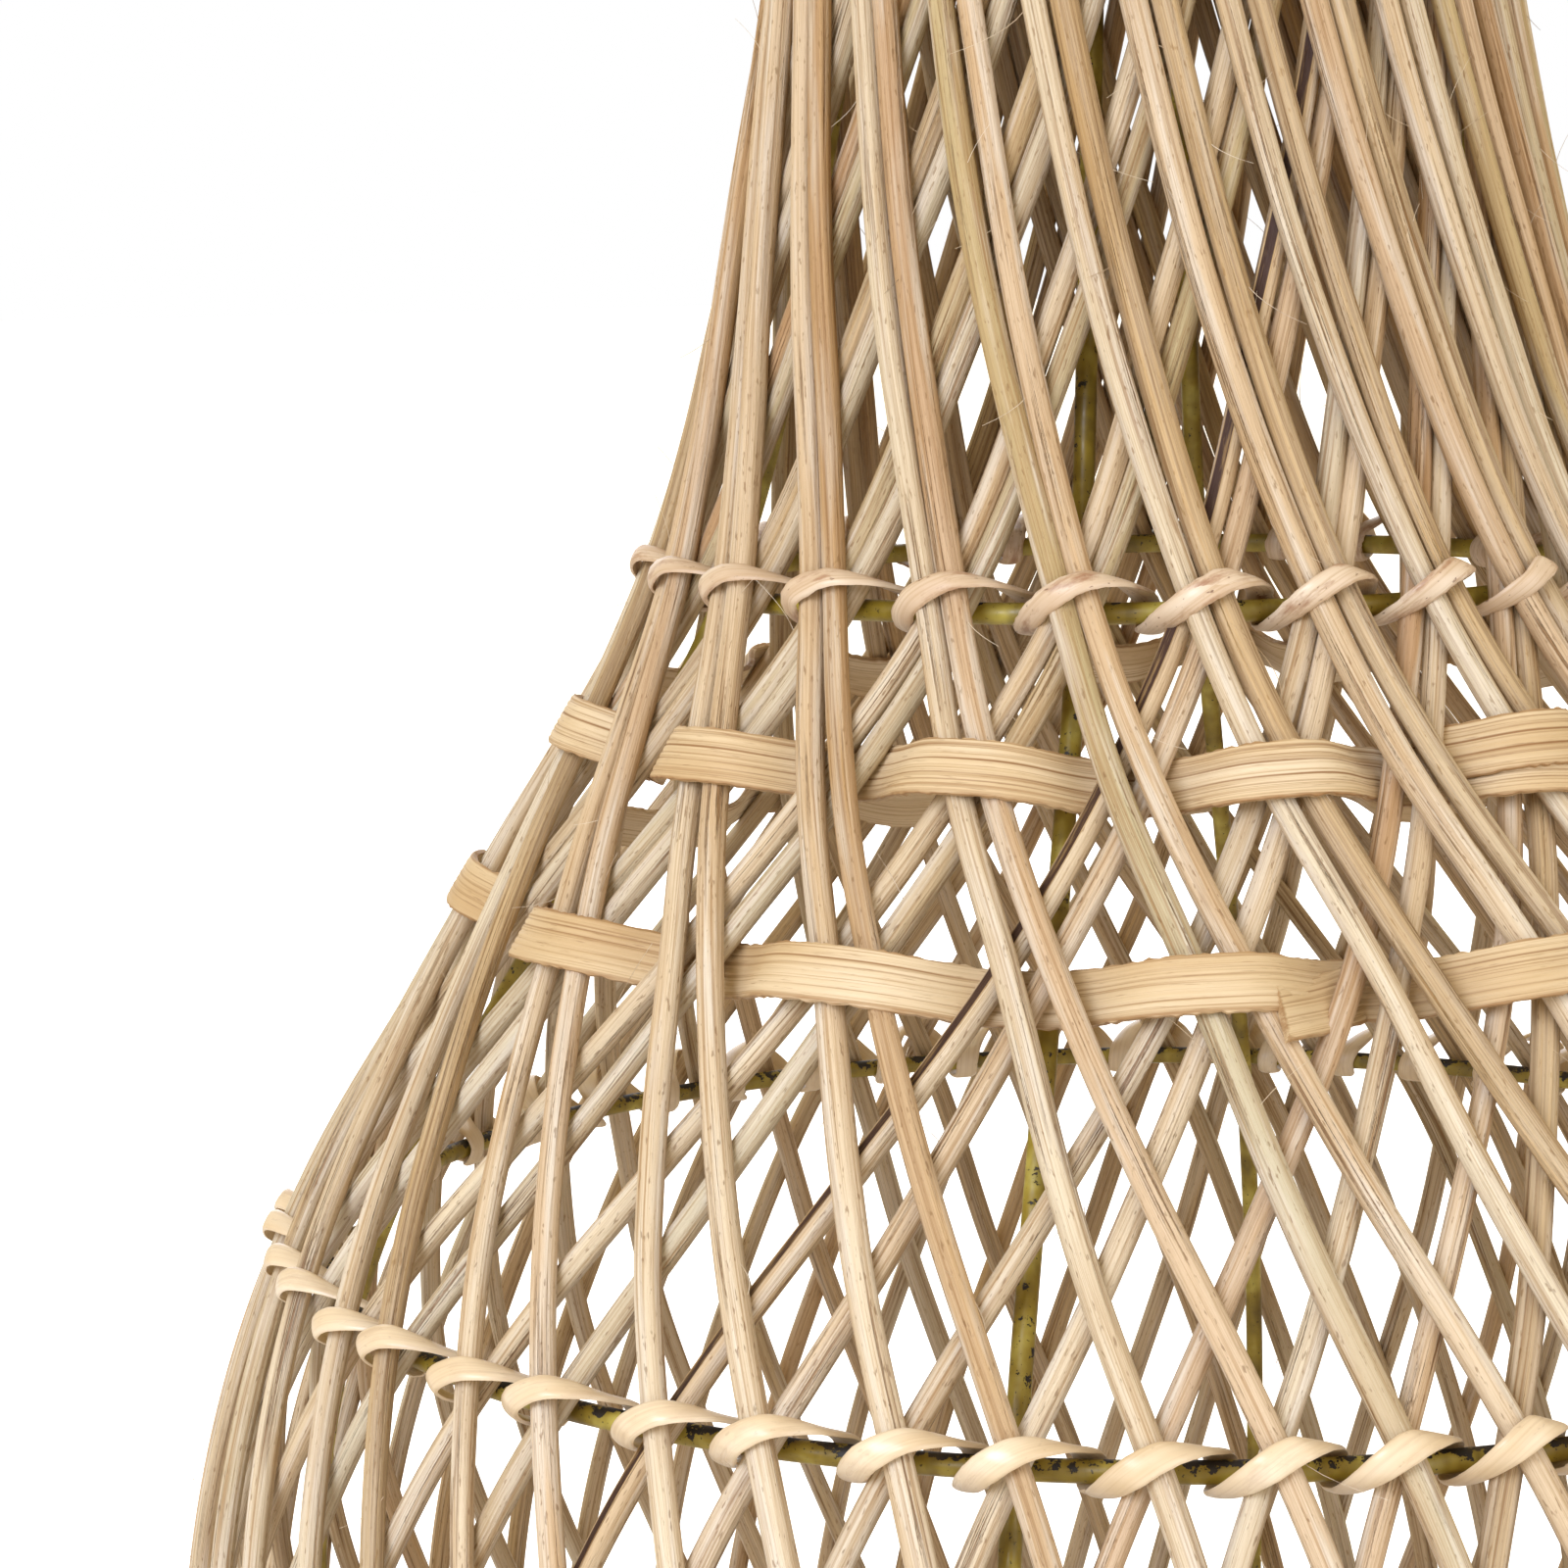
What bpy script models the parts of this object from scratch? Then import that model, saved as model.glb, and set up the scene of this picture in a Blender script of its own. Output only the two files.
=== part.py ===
"""Woven rattan pendant lampshade with its E27 lamp holder.

Metres, +Z up. The origin is where the cord would enter the gland, on the shade's axis, so the whole
lamp hangs below it. The wire frame is innermost, a layer of splints leans one way over it, and a
second layer leans the other way outside the first.
"""

import math

import bmesh
import bpy
from mathutils import Vector

# Stock sizes.
REED = 0.0034  # diameter of one round rattan splint
WIRE = 0.0030  # diameter of the frame's steel wire
CANE = 0.0012  # thickness of a binding or a weaver
SKIN = 0.0010  # thickness of the solid that stands for one layer of splints
GAP = 0.0003  # clearance between pieces that touch
STRAP_GAP = 2 * GAP  # clearance of a strap that crosses the wall between two of its facets
SHADE_SIDES = 40
HOLDER_SIDES = 32
WIRE_SIDES = 8

# Heights of the frame's rings and of the two flat weavers.
TOP_Z = -0.055
NECK_Z = -0.193
UPPER_WEAVER_Z = -0.2145
LOWER_WEAVER_Z = -0.2395
BELLY_Z = -0.292
BOTTOM_Z = -0.425

# The shade's outer surface, from the top rim to the bottom rim: (height, radius).
OUTLINE = (
    (TOP_Z, 0.0490),
    (-0.139, 0.0611),
    (NECK_Z, 0.0755),
    (-0.250, 0.1090),
    (BELLY_Z, 0.1337),
    (-0.360, 0.1500),
    (BOTTOM_Z, 0.1370),
)

# How deep each layer of the wall lies under the outer surface.
INNER_FACE = 2 * REED
RING_DEPTH = INNER_FACE + GAP + WIRE / 2
RIB_DEPTH = RING_DEPTH + WIRE + GAP
SPAN_STEPS = 3  # facets of the wall between two points of its outline
WEAVER_WIDTH = 0.0072
BINDING_WIDTH = 0.0032
RIM_COVER = 0.0050  # how far a rim's binding reaches along the wall
RIM_PLATE = 0.0012

# Fitter plate that the lamp holder clamps, and the spokes that carry it.
FITTER_HOLE = 0.0210
FITTER_RADIUS = 0.0310
FITTER_THICKNESS = 0.0015
FITTER_Z = TOP_Z + WIRE / 2 + GAP
SPOKE_START = 0.0265
RIB_ANGLES = (-90, 0, 90, 180)

# E27 lamp holder.
SKIRT_RADIUS = 0.0200
SKIRT_BORE = 0.0178
SKIRT_LENGTH = 0.0350
SHOULDER_RADIUS = 0.0240
SHOULDER_Z = FITTER_Z + FITTER_THICKNESS + GAP
SHOULDER_HEIGHT = 0.0040
COLLAR_RADIUS = 0.0196
COLLAR_HEIGHT = 0.0080
NUT_RADIUS = 0.0252
NUT_GRIP_RADIUS = 0.0238
NUT_HEIGHT = 0.0085
NUT_FLANGE = 0.0020
CAP_RADIUS = 0.0225
CAP_BORE = 0.0199
CAP_WALL = 0.0025
CAP_SHOULDER_Z = -0.0300
CAP_TOP_Z = -0.0130
CAP_HOLE = 0.0053
DOME_STEPS = 6
GLAND_RADIUS = 0.0050
GLAND_BORE = 0.0037
GLAND_FLANGE = 0.0085
GLAND_FLANGE_HEIGHT = 0.0024
GLAND_TAIL = 0.0060
GLAND_NUT_RADIUS = 0.0088
GLAND_NUT_HEIGHT = 0.0065
CORE_RADIUS = 0.0175
CORE_BORE = 0.0149
CORE_BASE_HEIGHT = 0.0080
CORE_TOP_Z = -0.0420
CORE_LENGTH = 0.0415
CORE_EYE = 0.0026
SHELL_RADIUS = 0.0144
SHELL_WALL = 0.0005
THREAD_DEPTH = 0.0004
THREAD_PITCH = 0.0036
THREAD_TURNS = 7
THREAD_POINTS = 2
THREAD_SIDES = 24
CONTACT_RADIUS = 0.0045
CONTACT_STEM = 0.0022
CONTACT_EYE = 0.0008
CONTACT_THICKNESS = 0.0010
CONTACT_DROP = 0.0040
TERMINAL_SIZE = (0.0080, 0.0060, 0.0040)
TERMINAL_OFFSET = 0.0098
SCREW_RADIUS = 0.0024
SCREW_HEIGHT = 0.0022
SLOT_WIDTH = 0.0008
SLOT_DEPTH = 0.0010
SMOOTH_ANGLE = math.radians(35)


def make_material(name, colour, roughness, metallic=0.0):
    material = bpy.data.materials.new(name)
    material.use_nodes = True
    shader = material.node_tree.nodes["Principled BSDF"]
    shader.inputs["Base Color"].default_value = (*colour, 1.0)
    shader.inputs["Roughness"].default_value = roughness
    shader.inputs["Metallic"].default_value = metallic
    return material


def make_empty(name):
    """A parent on the shade's axis, about which its group turns."""
    empty = bpy.data.objects.new(name, None)
    empty.empty_display_size = 0.05
    bpy.context.scene.collection.objects.link(empty)
    return empty


def place(name, mesh, material, parent, location=(0.0, 0.0, 0.0)):
    mesh.name = name
    mesh.materials.clear()
    mesh.materials.append(material)
    mesh.shade_smooth()
    mesh.set_sharp_from_angle(angle=SMOOTH_ANGLE)
    piece = bpy.data.objects.new(name, mesh)
    piece.location = location
    piece.parent = parent
    bpy.context.scene.collection.objects.link(piece)
    return piece


def turned(name, outline, material, parent, sides=HOLDER_SIDES):
    """A closed (radius, height) outline spun about Z."""
    shape = bmesh.new()
    points = [shape.verts.new((radius, 0.0, height)) for radius, height in outline]
    edges = [shape.edges.new((a, b)) for a, b in zip(points, points[1:] + points[:1])]
    bmesh.ops.spin(
        shape,
        geom=points + edges,
        cent=(0.0, 0.0, 0.0),
        axis=(0.0, 0.0, 1.0),
        angle=2 * math.pi,
        steps=sides,
        use_merge=True,
    )
    bmesh.ops.recalc_face_normals(shape, faces=shape.faces[:])
    mesh = bpy.data.meshes.new(name)
    shape.to_mesh(mesh)
    shape.free()
    return place(name, mesh, material, parent)


def wire(name, points, material, parent):
    """A round rod along a list of points, with flat ends."""
    curve = bpy.data.curves.new(name, "CURVE")
    curve.dimensions = "3D"
    curve.bevel_depth = WIRE / 2
    curve.bevel_resolution = 2
    curve.use_fill_caps = True
    curve.materials.append(material)
    spline = curve.splines.new("POLY")
    spline.points.add(len(points) - 1)
    for target, point in zip(spline.points, points):
        target.co = (*point, 1.0)
    rod = bpy.data.objects.new(name, curve)
    rod.parent = parent
    bpy.context.scene.collection.objects.link(rod)
    return rod


def outline_slopes():
    """Change of radius with height at each point of the outline, weighted by the nearer neighbour."""
    steps = [
        (upper[1] - lower[1]) / (upper[0] - lower[0]) for upper, lower in zip(OUTLINE, OUTLINE[1:])
    ]
    spans = [upper[0] - lower[0] for upper, lower in zip(OUTLINE, OUTLINE[1:])]
    middle = [
        (steps[i] * spans[i + 1] + steps[i + 1] * spans[i]) / (spans[i] + spans[i + 1])
        for i in range(len(steps) - 1)
    ]
    first = 1.5 * steps[0] - 0.5 * middle[0]
    last = 1.5 * steps[-1] - 0.5 * middle[-1]
    return [first, *middle, last]


SLOPES = outline_slopes()


def outer_surface(height):
    """(radius, slope) of the outer surface: a cubic between the outline's points."""
    index = 0
    while index < len(OUTLINE) - 2 and height < OUTLINE[index + 1][0]:
        index += 1
    top_z, top_radius = OUTLINE[index]
    low_z, low_radius = OUTLINE[index + 1]
    span = top_z - low_z
    t = (height - low_z) / span
    low_slope = SLOPES[index + 1] * span
    top_slope = SLOPES[index] * span
    rise = top_radius - low_radius
    square = 3 * rise - 2 * low_slope - top_slope
    cube = low_slope + top_slope - 2 * rise
    radius = low_radius + low_slope * t + square * t**2 + cube * t**3
    slope = (low_slope + 2 * square * t + 3 * cube * t**2) / span
    return radius, slope


def wall_point(height, depth):
    """The point at this depth under the outer surface, measured square to it."""
    radius, slope = outer_surface(height)
    length = math.hypot(1.0, slope)
    return radius - depth / length, height + depth * slope / length


def heights_between(top, bottom, steps):
    return [top + (bottom - top) * step / steps for step in range(steps + 1)]


def wall_heights():
    """Heights down the whole wall, with the outline's own points among them."""
    heights = [TOP_Z]
    for (upper, _), (lower, _) in zip(OUTLINE, OUTLINE[1:]):
        heights += heights_between(upper, lower, SPAN_STEPS)[1:]
    return heights


def wall_outline(heights, outer_depth, inner_depth):
    """A closed outline that follows the wall at two depths, from the first height to the last."""
    outside = [wall_point(height, outer_depth) for height in heights]
    inside = [wall_point(height, inner_depth) for height in reversed(heights)]
    return outside + inside


def ring_outline(height):
    """The round section of a frame ring that lies against the inside of the splints."""
    radius, centre_z = wall_point(height, RING_DEPTH)
    angles = [2 * math.pi * side / WIRE_SIDES for side in range(WIRE_SIDES)]
    return [
        (radius + WIRE / 2 * math.cos(angle), centre_z + WIRE / 2 * math.sin(angle))
        for angle in angles
    ]


def rim_outline(rim_z, direction):
    """A binding over a rim: a plate across the ends of both layers, and a wall down the outside."""
    outside = -(STRAP_GAP + CANE)
    far_z = rim_z - direction * RIM_COVER
    plate_near = rim_z + direction * GAP
    plate_far = plate_near + direction * RIM_PLATE
    rim_radius = wall_point(rim_z, outside)[0]
    inner_radius = wall_point(rim_z, INNER_FACE)[0]
    return [
        (inner_radius, plate_far),
        (rim_radius, plate_far),
        wall_point(far_z, outside),
        wall_point(far_z, -STRAP_GAP),
        (wall_point(rim_z, -STRAP_GAP)[0], plate_near),
        (inner_radius, plate_near),
    ]


def build_frame(parent, paint):
    rings = {"top_ring": TOP_Z, "neck_ring": NECK_Z, "belly_ring": BELLY_Z, "bottom_ring": BOTTOM_Z}
    for name, height in rings.items():
        turned(name, ring_outline(height), paint, parent, SHADE_SIDES)
    fitter_top = FITTER_Z + FITTER_THICKNESS
    fitter_outline = [
        (FITTER_RADIUS, fitter_top),
        (FITTER_RADIUS, FITTER_Z),
        (FITTER_HOLE, FITTER_Z),
        (FITTER_HOLE, fitter_top),
    ]
    turned("fitter_ring", fitter_outline, paint, parent, SHADE_SIDES)
    spoke_end = wall_point(TOP_Z, RING_DEPTH)[0] - WIRE / 2 - GAP
    rib_top = TOP_Z - WIRE / 2 - GAP
    rib_heights = [rib_top, *wall_heights()[1:]]
    for number, degrees in enumerate(RIB_ANGLES, start=1):
        outward = Vector((math.cos(math.radians(degrees)), math.sin(math.radians(degrees)), 0.0))
        spoke_points = [outward * radius + Vector((0, 0, TOP_Z)) for radius in (SPOKE_START, spoke_end)]
        wire(f"spoke_{number}", spoke_points, paint, parent)
        rib_points = []
        for height in rib_heights:
            radius, z = wall_point(height, RIB_DEPTH)
            rib_points.append(outward * radius + Vector((0, 0, z)))
        wire(f"rib_{number}", rib_points, paint, parent)


def build_weave(parent, rattan, cane):
    outer = wall_outline(wall_heights(), 0.0, SKIN)
    turned("outer_splints", outer, rattan, parent, SHADE_SIDES)
    inner = wall_outline(wall_heights(), INNER_FACE - SKIN, INNER_FACE)
    turned("inner_splints", inner, rattan, parent, SHADE_SIDES)
    straps = {
        "upper_weaver": (UPPER_WEAVER_Z, WEAVER_WIDTH, rattan),
        "lower_weaver": (LOWER_WEAVER_Z, WEAVER_WIDTH, rattan),
        "neck_binding": (NECK_Z, BINDING_WIDTH, cane),
        "belly_binding": (BELLY_Z, BINDING_WIDTH, cane),
    }
    for name, (height, width, material) in straps.items():
        edges = (height + width / 2, height - width / 2)
        strap = wall_outline(edges, -(STRAP_GAP + CANE), -STRAP_GAP)
        turned(name, strap, material, parent, SHADE_SIDES)
    turned("top_binding", rim_outline(TOP_Z, 1), cane, parent, SHADE_SIDES)
    turned("bottom_binding", rim_outline(BOTTOM_Z, -1), cane, parent, SHADE_SIDES)


def dome(radius, shoulder_z, hole, top_z):
    """Points of a quarter ellipse from a cap's side up to the hole in its top."""
    points = []
    for step in range(DOME_STEPS + 1):
        angle = math.pi / 2 * step / DOME_STEPS
        across = hole + (radius - hole) * math.cos(angle)
        points.append((across, shoulder_z + (top_z - shoulder_z) * math.sin(angle)))
    return points


def build_cap(parent, plastic):
    cap_bottom = SHOULDER_Z + SHOULDER_HEIGHT + GAP
    outside = [(CAP_RADIUS, cap_bottom), *dome(CAP_RADIUS, CAP_SHOULDER_Z, CAP_HOLE, CAP_TOP_Z)]
    inside = [(CAP_BORE, cap_bottom), *dome(CAP_BORE, CAP_SHOULDER_Z, CAP_HOLE, CAP_TOP_Z - CAP_WALL)]
    turned("holder_cap", outside + inside[::-1], plastic, parent)


def build_gland(parent, nut_parent, plastic):
    flange_z = CAP_TOP_Z + GAP
    flange_top = flange_z + GLAND_FLANGE_HEIGHT
    tail_z = CAP_TOP_Z - GLAND_TAIL
    gland_outline = [
        (GLAND_RADIUS, 0.0),
        (GLAND_RADIUS, flange_top),
        (GLAND_FLANGE, flange_top),
        (GLAND_FLANGE, flange_z),
        (GLAND_RADIUS, flange_z),
        (GLAND_RADIUS, tail_z),
        (GLAND_BORE, tail_z),
        (GLAND_BORE, 0.0),
    ]
    turned("cord_gland", gland_outline, plastic, parent)
    nut_z = flange_top + GAP + GLAND_NUT_HEIGHT / 2
    nut = prism("gland_nut", GLAND_NUT_RADIUS, GLAND_NUT_HEIGHT, 6, plastic, nut_parent, (0, 0, nut_z))
    hole = prism("gland_nut_hole", GLAND_RADIUS + GAP, 2 * GLAND_NUT_HEIGHT, 24, plastic, None, (0, 0, nut_z))
    cut(nut, hole)


def prism(name, radius, height, sides, material, parent, location):
    """A straight prism about its own upright axis."""
    shape = bmesh.new()
    bmesh.ops.create_cone(
        shape, cap_ends=True, segments=sides, radius1=radius, radius2=radius, depth=height
    )
    mesh = bpy.data.meshes.new(name)
    shape.to_mesh(mesh)
    shape.free()
    return place(name, mesh, material, parent, location)


def block(name, size, material, parent, location):
    shape = bmesh.new()
    bmesh.ops.create_cube(shape, size=1.0)
    bmesh.ops.scale(shape, vec=size, verts=shape.verts)
    mesh = bpy.data.meshes.new(name)
    shape.to_mesh(mesh)
    shape.free()
    return place(name, mesh, material, parent, location)


def cut(piece, cutter):
    cutter.hide_render = True
    cutter.display_type = "WIRE"
    boolean = piece.modifiers.new("cut", "BOOLEAN")
    boolean.operation = "DIFFERENCE"
    boolean.solver = "EXACT"
    boolean.object = cutter


def build_skirt(parent, plastic):
    shoulder_top = SHOULDER_Z + SHOULDER_HEIGHT
    collar_top = shoulder_top + COLLAR_HEIGHT
    bottom = SHOULDER_Z - SKIRT_LENGTH
    skirt_outline = [
        (COLLAR_RADIUS, collar_top),
        (COLLAR_RADIUS, shoulder_top),
        (SHOULDER_RADIUS, shoulder_top),
        (SHOULDER_RADIUS, SHOULDER_Z),
        (SKIRT_RADIUS, SHOULDER_Z),
        (SKIRT_RADIUS, bottom),
        (SKIRT_BORE, bottom),
        (SKIRT_BORE, collar_top),
    ]
    turned("holder_skirt", skirt_outline, plastic, parent)


def build_shade_nut(parent, plastic):
    top = FITTER_Z - GAP
    grip_z = top - NUT_FLANGE
    bottom = top - NUT_HEIGHT
    bore = SKIRT_RADIUS + GAP
    nut_outline = [
        (NUT_RADIUS, top),
        (NUT_RADIUS, grip_z),
        (NUT_GRIP_RADIUS, grip_z),
        (NUT_GRIP_RADIUS, bottom),
        (bore, bottom),
        (bore, top),
    ]
    turned("shade_nut", nut_outline, plastic, parent)


def screw_shell_outline(top, bottom):
    """A thin rolled tube whose wall waves in and out with the lamp thread."""
    points = THREAD_TURNS * THREAD_POINTS
    outside = []
    for index, height in enumerate(heights_between(top, bottom, points)):
        wave = THREAD_DEPTH / 2 * math.cos(2 * math.pi * index / THREAD_POINTS)
        outside.append((SHELL_RADIUS + wave, height))
    inside = [(radius - SHELL_WALL, height) for radius, height in reversed(outside)]
    return outside + inside


def build_core(parent, contact_parent, ceramic, brass):
    base_z = CORE_TOP_Z - CORE_BASE_HEIGHT
    bottom = CORE_TOP_Z - CORE_LENGTH
    core_outline = [
        (CORE_RADIUS, CORE_TOP_Z),
        (CORE_RADIUS, bottom),
        (CORE_BORE, bottom),
        (CORE_BORE, base_z),
        (CORE_EYE, base_z),
        (CORE_EYE, CORE_TOP_Z),
    ]
    turned("holder_core", core_outline, ceramic, parent)
    shell_bottom = bottom + 2 * GAP
    shell_top = shell_bottom + THREAD_TURNS * THREAD_PITCH
    shell_outline = screw_shell_outline(shell_top, shell_bottom)
    turned("screw_shell", shell_outline, brass, parent, THREAD_SIDES)
    disc_z = base_z - CONTACT_DROP
    stem_top = CORE_TOP_Z + CONTACT_THICKNESS
    contact_outline = [
        (CONTACT_STEM, stem_top),
        (CONTACT_STEM, disc_z),
        (CONTACT_RADIUS, disc_z),
        (CONTACT_RADIUS, disc_z - CONTACT_THICKNESS),
        (CONTACT_EYE, disc_z - CONTACT_THICKNESS),
        (CONTACT_EYE, stem_top),
    ]
    turned("centre_contact", contact_outline, brass, contact_parent)


def build_terminals(parent, brass, steel):
    """Two terminal blocks on top of the core, each with a slotted screw that turns on its own axis."""
    terminal_z = CORE_TOP_Z + GAP + TERMINAL_SIZE[2] / 2
    screw_z = CORE_TOP_Z + 2 * GAP + TERMINAL_SIZE[2] + SCREW_HEIGHT / 2
    slot_size = (3 * SCREW_RADIUS, SLOT_WIDTH, 2 * SLOT_DEPTH)
    slot_z = screw_z + SCREW_HEIGHT / 2
    for number, side in enumerate((-1, 1), start=1):
        x = side * TERMINAL_OFFSET
        block(f"terminal_{number}", TERMINAL_SIZE, brass, parent, (x, 0, terminal_z))
        name = f"terminal_screw_{number}"
        screw = prism(name, SCREW_RADIUS, SCREW_HEIGHT, 20, steel, parent, (x, 0, screw_z))
        slot = block(f"{name}_slot", slot_size, steel, None, (x, 0, slot_z))
        cut(screw, slot)


def build_holder():
    plastic = make_material("holder plastic", (0.03, 0.03, 0.03), 0.42)
    ceramic = make_material("ceramic", (0.86, 0.85, 0.81), 0.25)
    brass = make_material("brass", (0.72, 0.53, 0.24), 0.3, 1.0)
    steel = make_material("screw steel", (0.62, 0.62, 0.62), 0.35, 1.0)
    holder = make_empty("holder")
    moving = {name: make_empty(name) for name in ("gland_turn", "skirt_turn", "nut_turn", "contact_slide")}
    for empty in moving.values():
        empty.parent = holder
    build_cap(holder, plastic)
    build_gland(holder, moving["gland_turn"], plastic)
    build_skirt(moving["skirt_turn"], plastic)
    build_shade_nut(moving["nut_turn"], plastic)
    build_core(holder, moving["contact_slide"], ceramic, brass)
    build_terminals(holder, brass, steel)
    return holder


def build_shade(holder):
    paint = make_material("painted wire", (0.42, 0.38, 0.12), 0.5)
    rattan = make_material("rattan splint", (0.72, 0.56, 0.37), 0.62)
    cane = make_material("binding cane", (0.80, 0.66, 0.45), 0.5)
    shade = make_empty("shade_swivel")
    shade.parent = holder
    build_frame(shade, paint)
    build_weave(shade, rattan, cane)


def main():
    for item in list(bpy.data.objects):
        bpy.data.objects.remove(item)
    holder = build_holder()
    build_shade(holder)


main()
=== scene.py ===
"""Looks of the woven rattan pendant lampshade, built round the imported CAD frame.

Metres, +Z up. An azimuth is measured in degrees from the front rib at -Y, and grows towards +X.
A depth is measured square to the outer face of the wall, inwards.
"""

import math
import random

import bpy
import numpy as np
from mathutils import Matrix, Vector


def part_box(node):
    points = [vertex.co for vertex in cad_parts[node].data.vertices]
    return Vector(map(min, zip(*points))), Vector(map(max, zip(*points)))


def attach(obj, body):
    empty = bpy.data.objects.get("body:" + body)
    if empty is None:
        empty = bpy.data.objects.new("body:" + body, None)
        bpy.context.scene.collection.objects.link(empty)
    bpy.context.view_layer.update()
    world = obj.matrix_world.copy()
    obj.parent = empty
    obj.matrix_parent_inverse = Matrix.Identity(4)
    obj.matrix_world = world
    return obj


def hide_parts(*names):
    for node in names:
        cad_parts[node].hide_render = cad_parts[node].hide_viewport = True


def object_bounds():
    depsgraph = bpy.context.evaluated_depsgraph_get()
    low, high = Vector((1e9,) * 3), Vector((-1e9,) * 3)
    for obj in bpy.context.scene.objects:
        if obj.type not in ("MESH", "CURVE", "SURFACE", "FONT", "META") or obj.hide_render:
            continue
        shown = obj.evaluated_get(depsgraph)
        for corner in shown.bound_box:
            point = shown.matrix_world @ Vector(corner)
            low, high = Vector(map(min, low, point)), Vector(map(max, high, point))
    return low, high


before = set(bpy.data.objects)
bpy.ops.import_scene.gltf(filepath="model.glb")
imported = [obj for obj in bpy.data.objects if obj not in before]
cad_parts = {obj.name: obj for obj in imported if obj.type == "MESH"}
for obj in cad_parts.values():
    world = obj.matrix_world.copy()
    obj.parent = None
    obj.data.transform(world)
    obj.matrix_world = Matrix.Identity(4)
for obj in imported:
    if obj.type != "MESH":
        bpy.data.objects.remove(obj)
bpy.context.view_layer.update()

SEED = 28

# Camera. It stands at this azimuth, and its turns from facing the axis squarely are in radians.
CAMERA_AZIMUTH = 8.0
CAMERA_DISTANCE = 0.5750
CAMERA_Z = -0.1524
CAMERA_YAW = 0.0956
CAMERA_PITCH = 0.1293
CAMERA_ROLL = -0.0233
CAMERA_LENS = 87.65
CAMERA_SENSOR = 36.0
CAMERA_CLIP = 0.02

# Stock sizes.
REED_RADIUS = 0.0017
OUTER_DEPTH = REED_RADIUS
INNER_DEPTH = 3 * REED_RADIUS
LAYERS = 4 * REED_RADIUS
RING_DEPTH = 0.0086

# The weave: pairs of reeds, a little unevenly spread round the rings.
PAIRS = 28
PITCH = 360.0 / PAIRS
PAIRS_PER_PIECE = 2
FIRST_PAIR = 5.9
UNEVEN = 10.3
UNEVEN_TURN = -18.0

# Turns of the outer and the inner layer round the axis from the neck ring: (height, degrees, degrees).
LAYER_TURNS = (
    (-0.425, 39.5, 46.5),
    (-0.340, 29.1, 35.6),
    (-0.292, 22.9, 28.8),
    (-0.262, 17.0, 21.9),
    (-0.238, 11.8, 15.0),
    (-0.2125, 4.9, 6.7),
    (-0.193, 0.0, 0.0),
    (-0.155, -9.0, -11.0),
    (-0.115, -17.5, -23.9),
    (-0.055, -30.5, -42.0),
)
# Half the angle between the two reeds of a pair. They part into even singles at the belly ring.
PAIR_OPENING = (
    (-0.425, PITCH / 4),
    (-0.292, PITCH / 4),
    (-0.276, 3.05),
    (-0.262, 2.65),
    (-0.238, 1.85),
    (-0.2125, 1.65),
    (-0.193, 1.50),
    (-0.155, 1.95),
    (-0.055, 2.30),
)
REED_STATIONS = 150
REED_SIDES = 16


# ---- the wall's shape

ON_PLANE = 1e-5
# Wider than the CAD skin is thick, and narrower than the steps of its outline.
SKIN_REACH = 0.0015


def read_outline():
    """Heights, rising, and radii of the outer face, read from the CAD skin where it crosses +X."""
    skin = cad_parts["outer_splints"].data
    points = {
        (round(v.co.z, 5), round(v.co.x, 5))
        for v in skin.vertices
        if v.co.x > 0 and abs(v.co.y) < ON_PLANE
    }
    outer = []
    for height, radius in points:
        near = [r for z, r in points if math.hypot(z - height, r - radius) < SKIN_REACH]
        if radius == max(near):
            outer.append((height, radius))
    return outer


class Smooth:
    """A curve through (place, value) points, with slopes weighted by the nearer neighbour."""

    def __init__(self, points):
        points = np.array(sorted(points), float)
        self.places = points[:, 0]
        self.values = points[:, 1]
        spans = np.diff(self.places)
        steps = np.diff(self.values) / spans
        middle = (steps[:-1] * spans[1:] + steps[1:] * spans[:-1]) / (spans[1:] + spans[:-1])
        first = 1.5 * steps[0] - 0.5 * middle[0]
        last = 1.5 * steps[-1] - 0.5 * middle[-1]
        self.slopes = np.concatenate([[first], middle, [last]])

    def __call__(self, place):
        return self.with_slope(place)[0]

    def with_slope(self, place):
        place = np.asarray(place, float)
        index = np.clip(np.searchsorted(self.places, place) - 1, 0, len(self.places) - 2)
        span = self.places[index + 1] - self.places[index]
        t = (place - self.places[index]) / span
        low = self.slopes[index] * span
        high = self.slopes[index + 1] * span
        rise = self.values[index + 1] - self.values[index]
        square = 3 * rise - 2 * low - high
        cube = low + high - 2 * rise
        value = self.values[index] + low * t + square * t**2 + cube * t**3
        slope = (low + 2 * square * t + 3 * cube * t**2) / span
        return value, slope


OUTLINE = Smooth(read_outline())
HEIGHT_STEPS = 2000
TOP_Z = float(OUTLINE.places[-1])
BOTTOM_Z = float(OUTLINE.places[0])


def wall(azimuth, height, depth=0.0):
    """(points, outward normals, upward tangents) on the wall at arrays of azimuth, height and depth."""
    azimuth, height, depth = np.broadcast_arrays(np.radians(azimuth), height, depth)
    radius, slope = OUTLINE.with_slope(height)
    length = np.hypot(1.0, slope)
    out = np.stack([np.sin(azimuth), -np.cos(azimuth), np.zeros_like(azimuth)], -1)
    rise = np.array([0.0, 0.0, 1.0])
    normal = (out - slope[..., None] * rise) / length[..., None]
    up = (out * slope[..., None] + rise) / length[..., None]
    points = out * radius[..., None] + rise * height[..., None] - normal * depth[..., None]
    return points, normal, up


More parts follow.
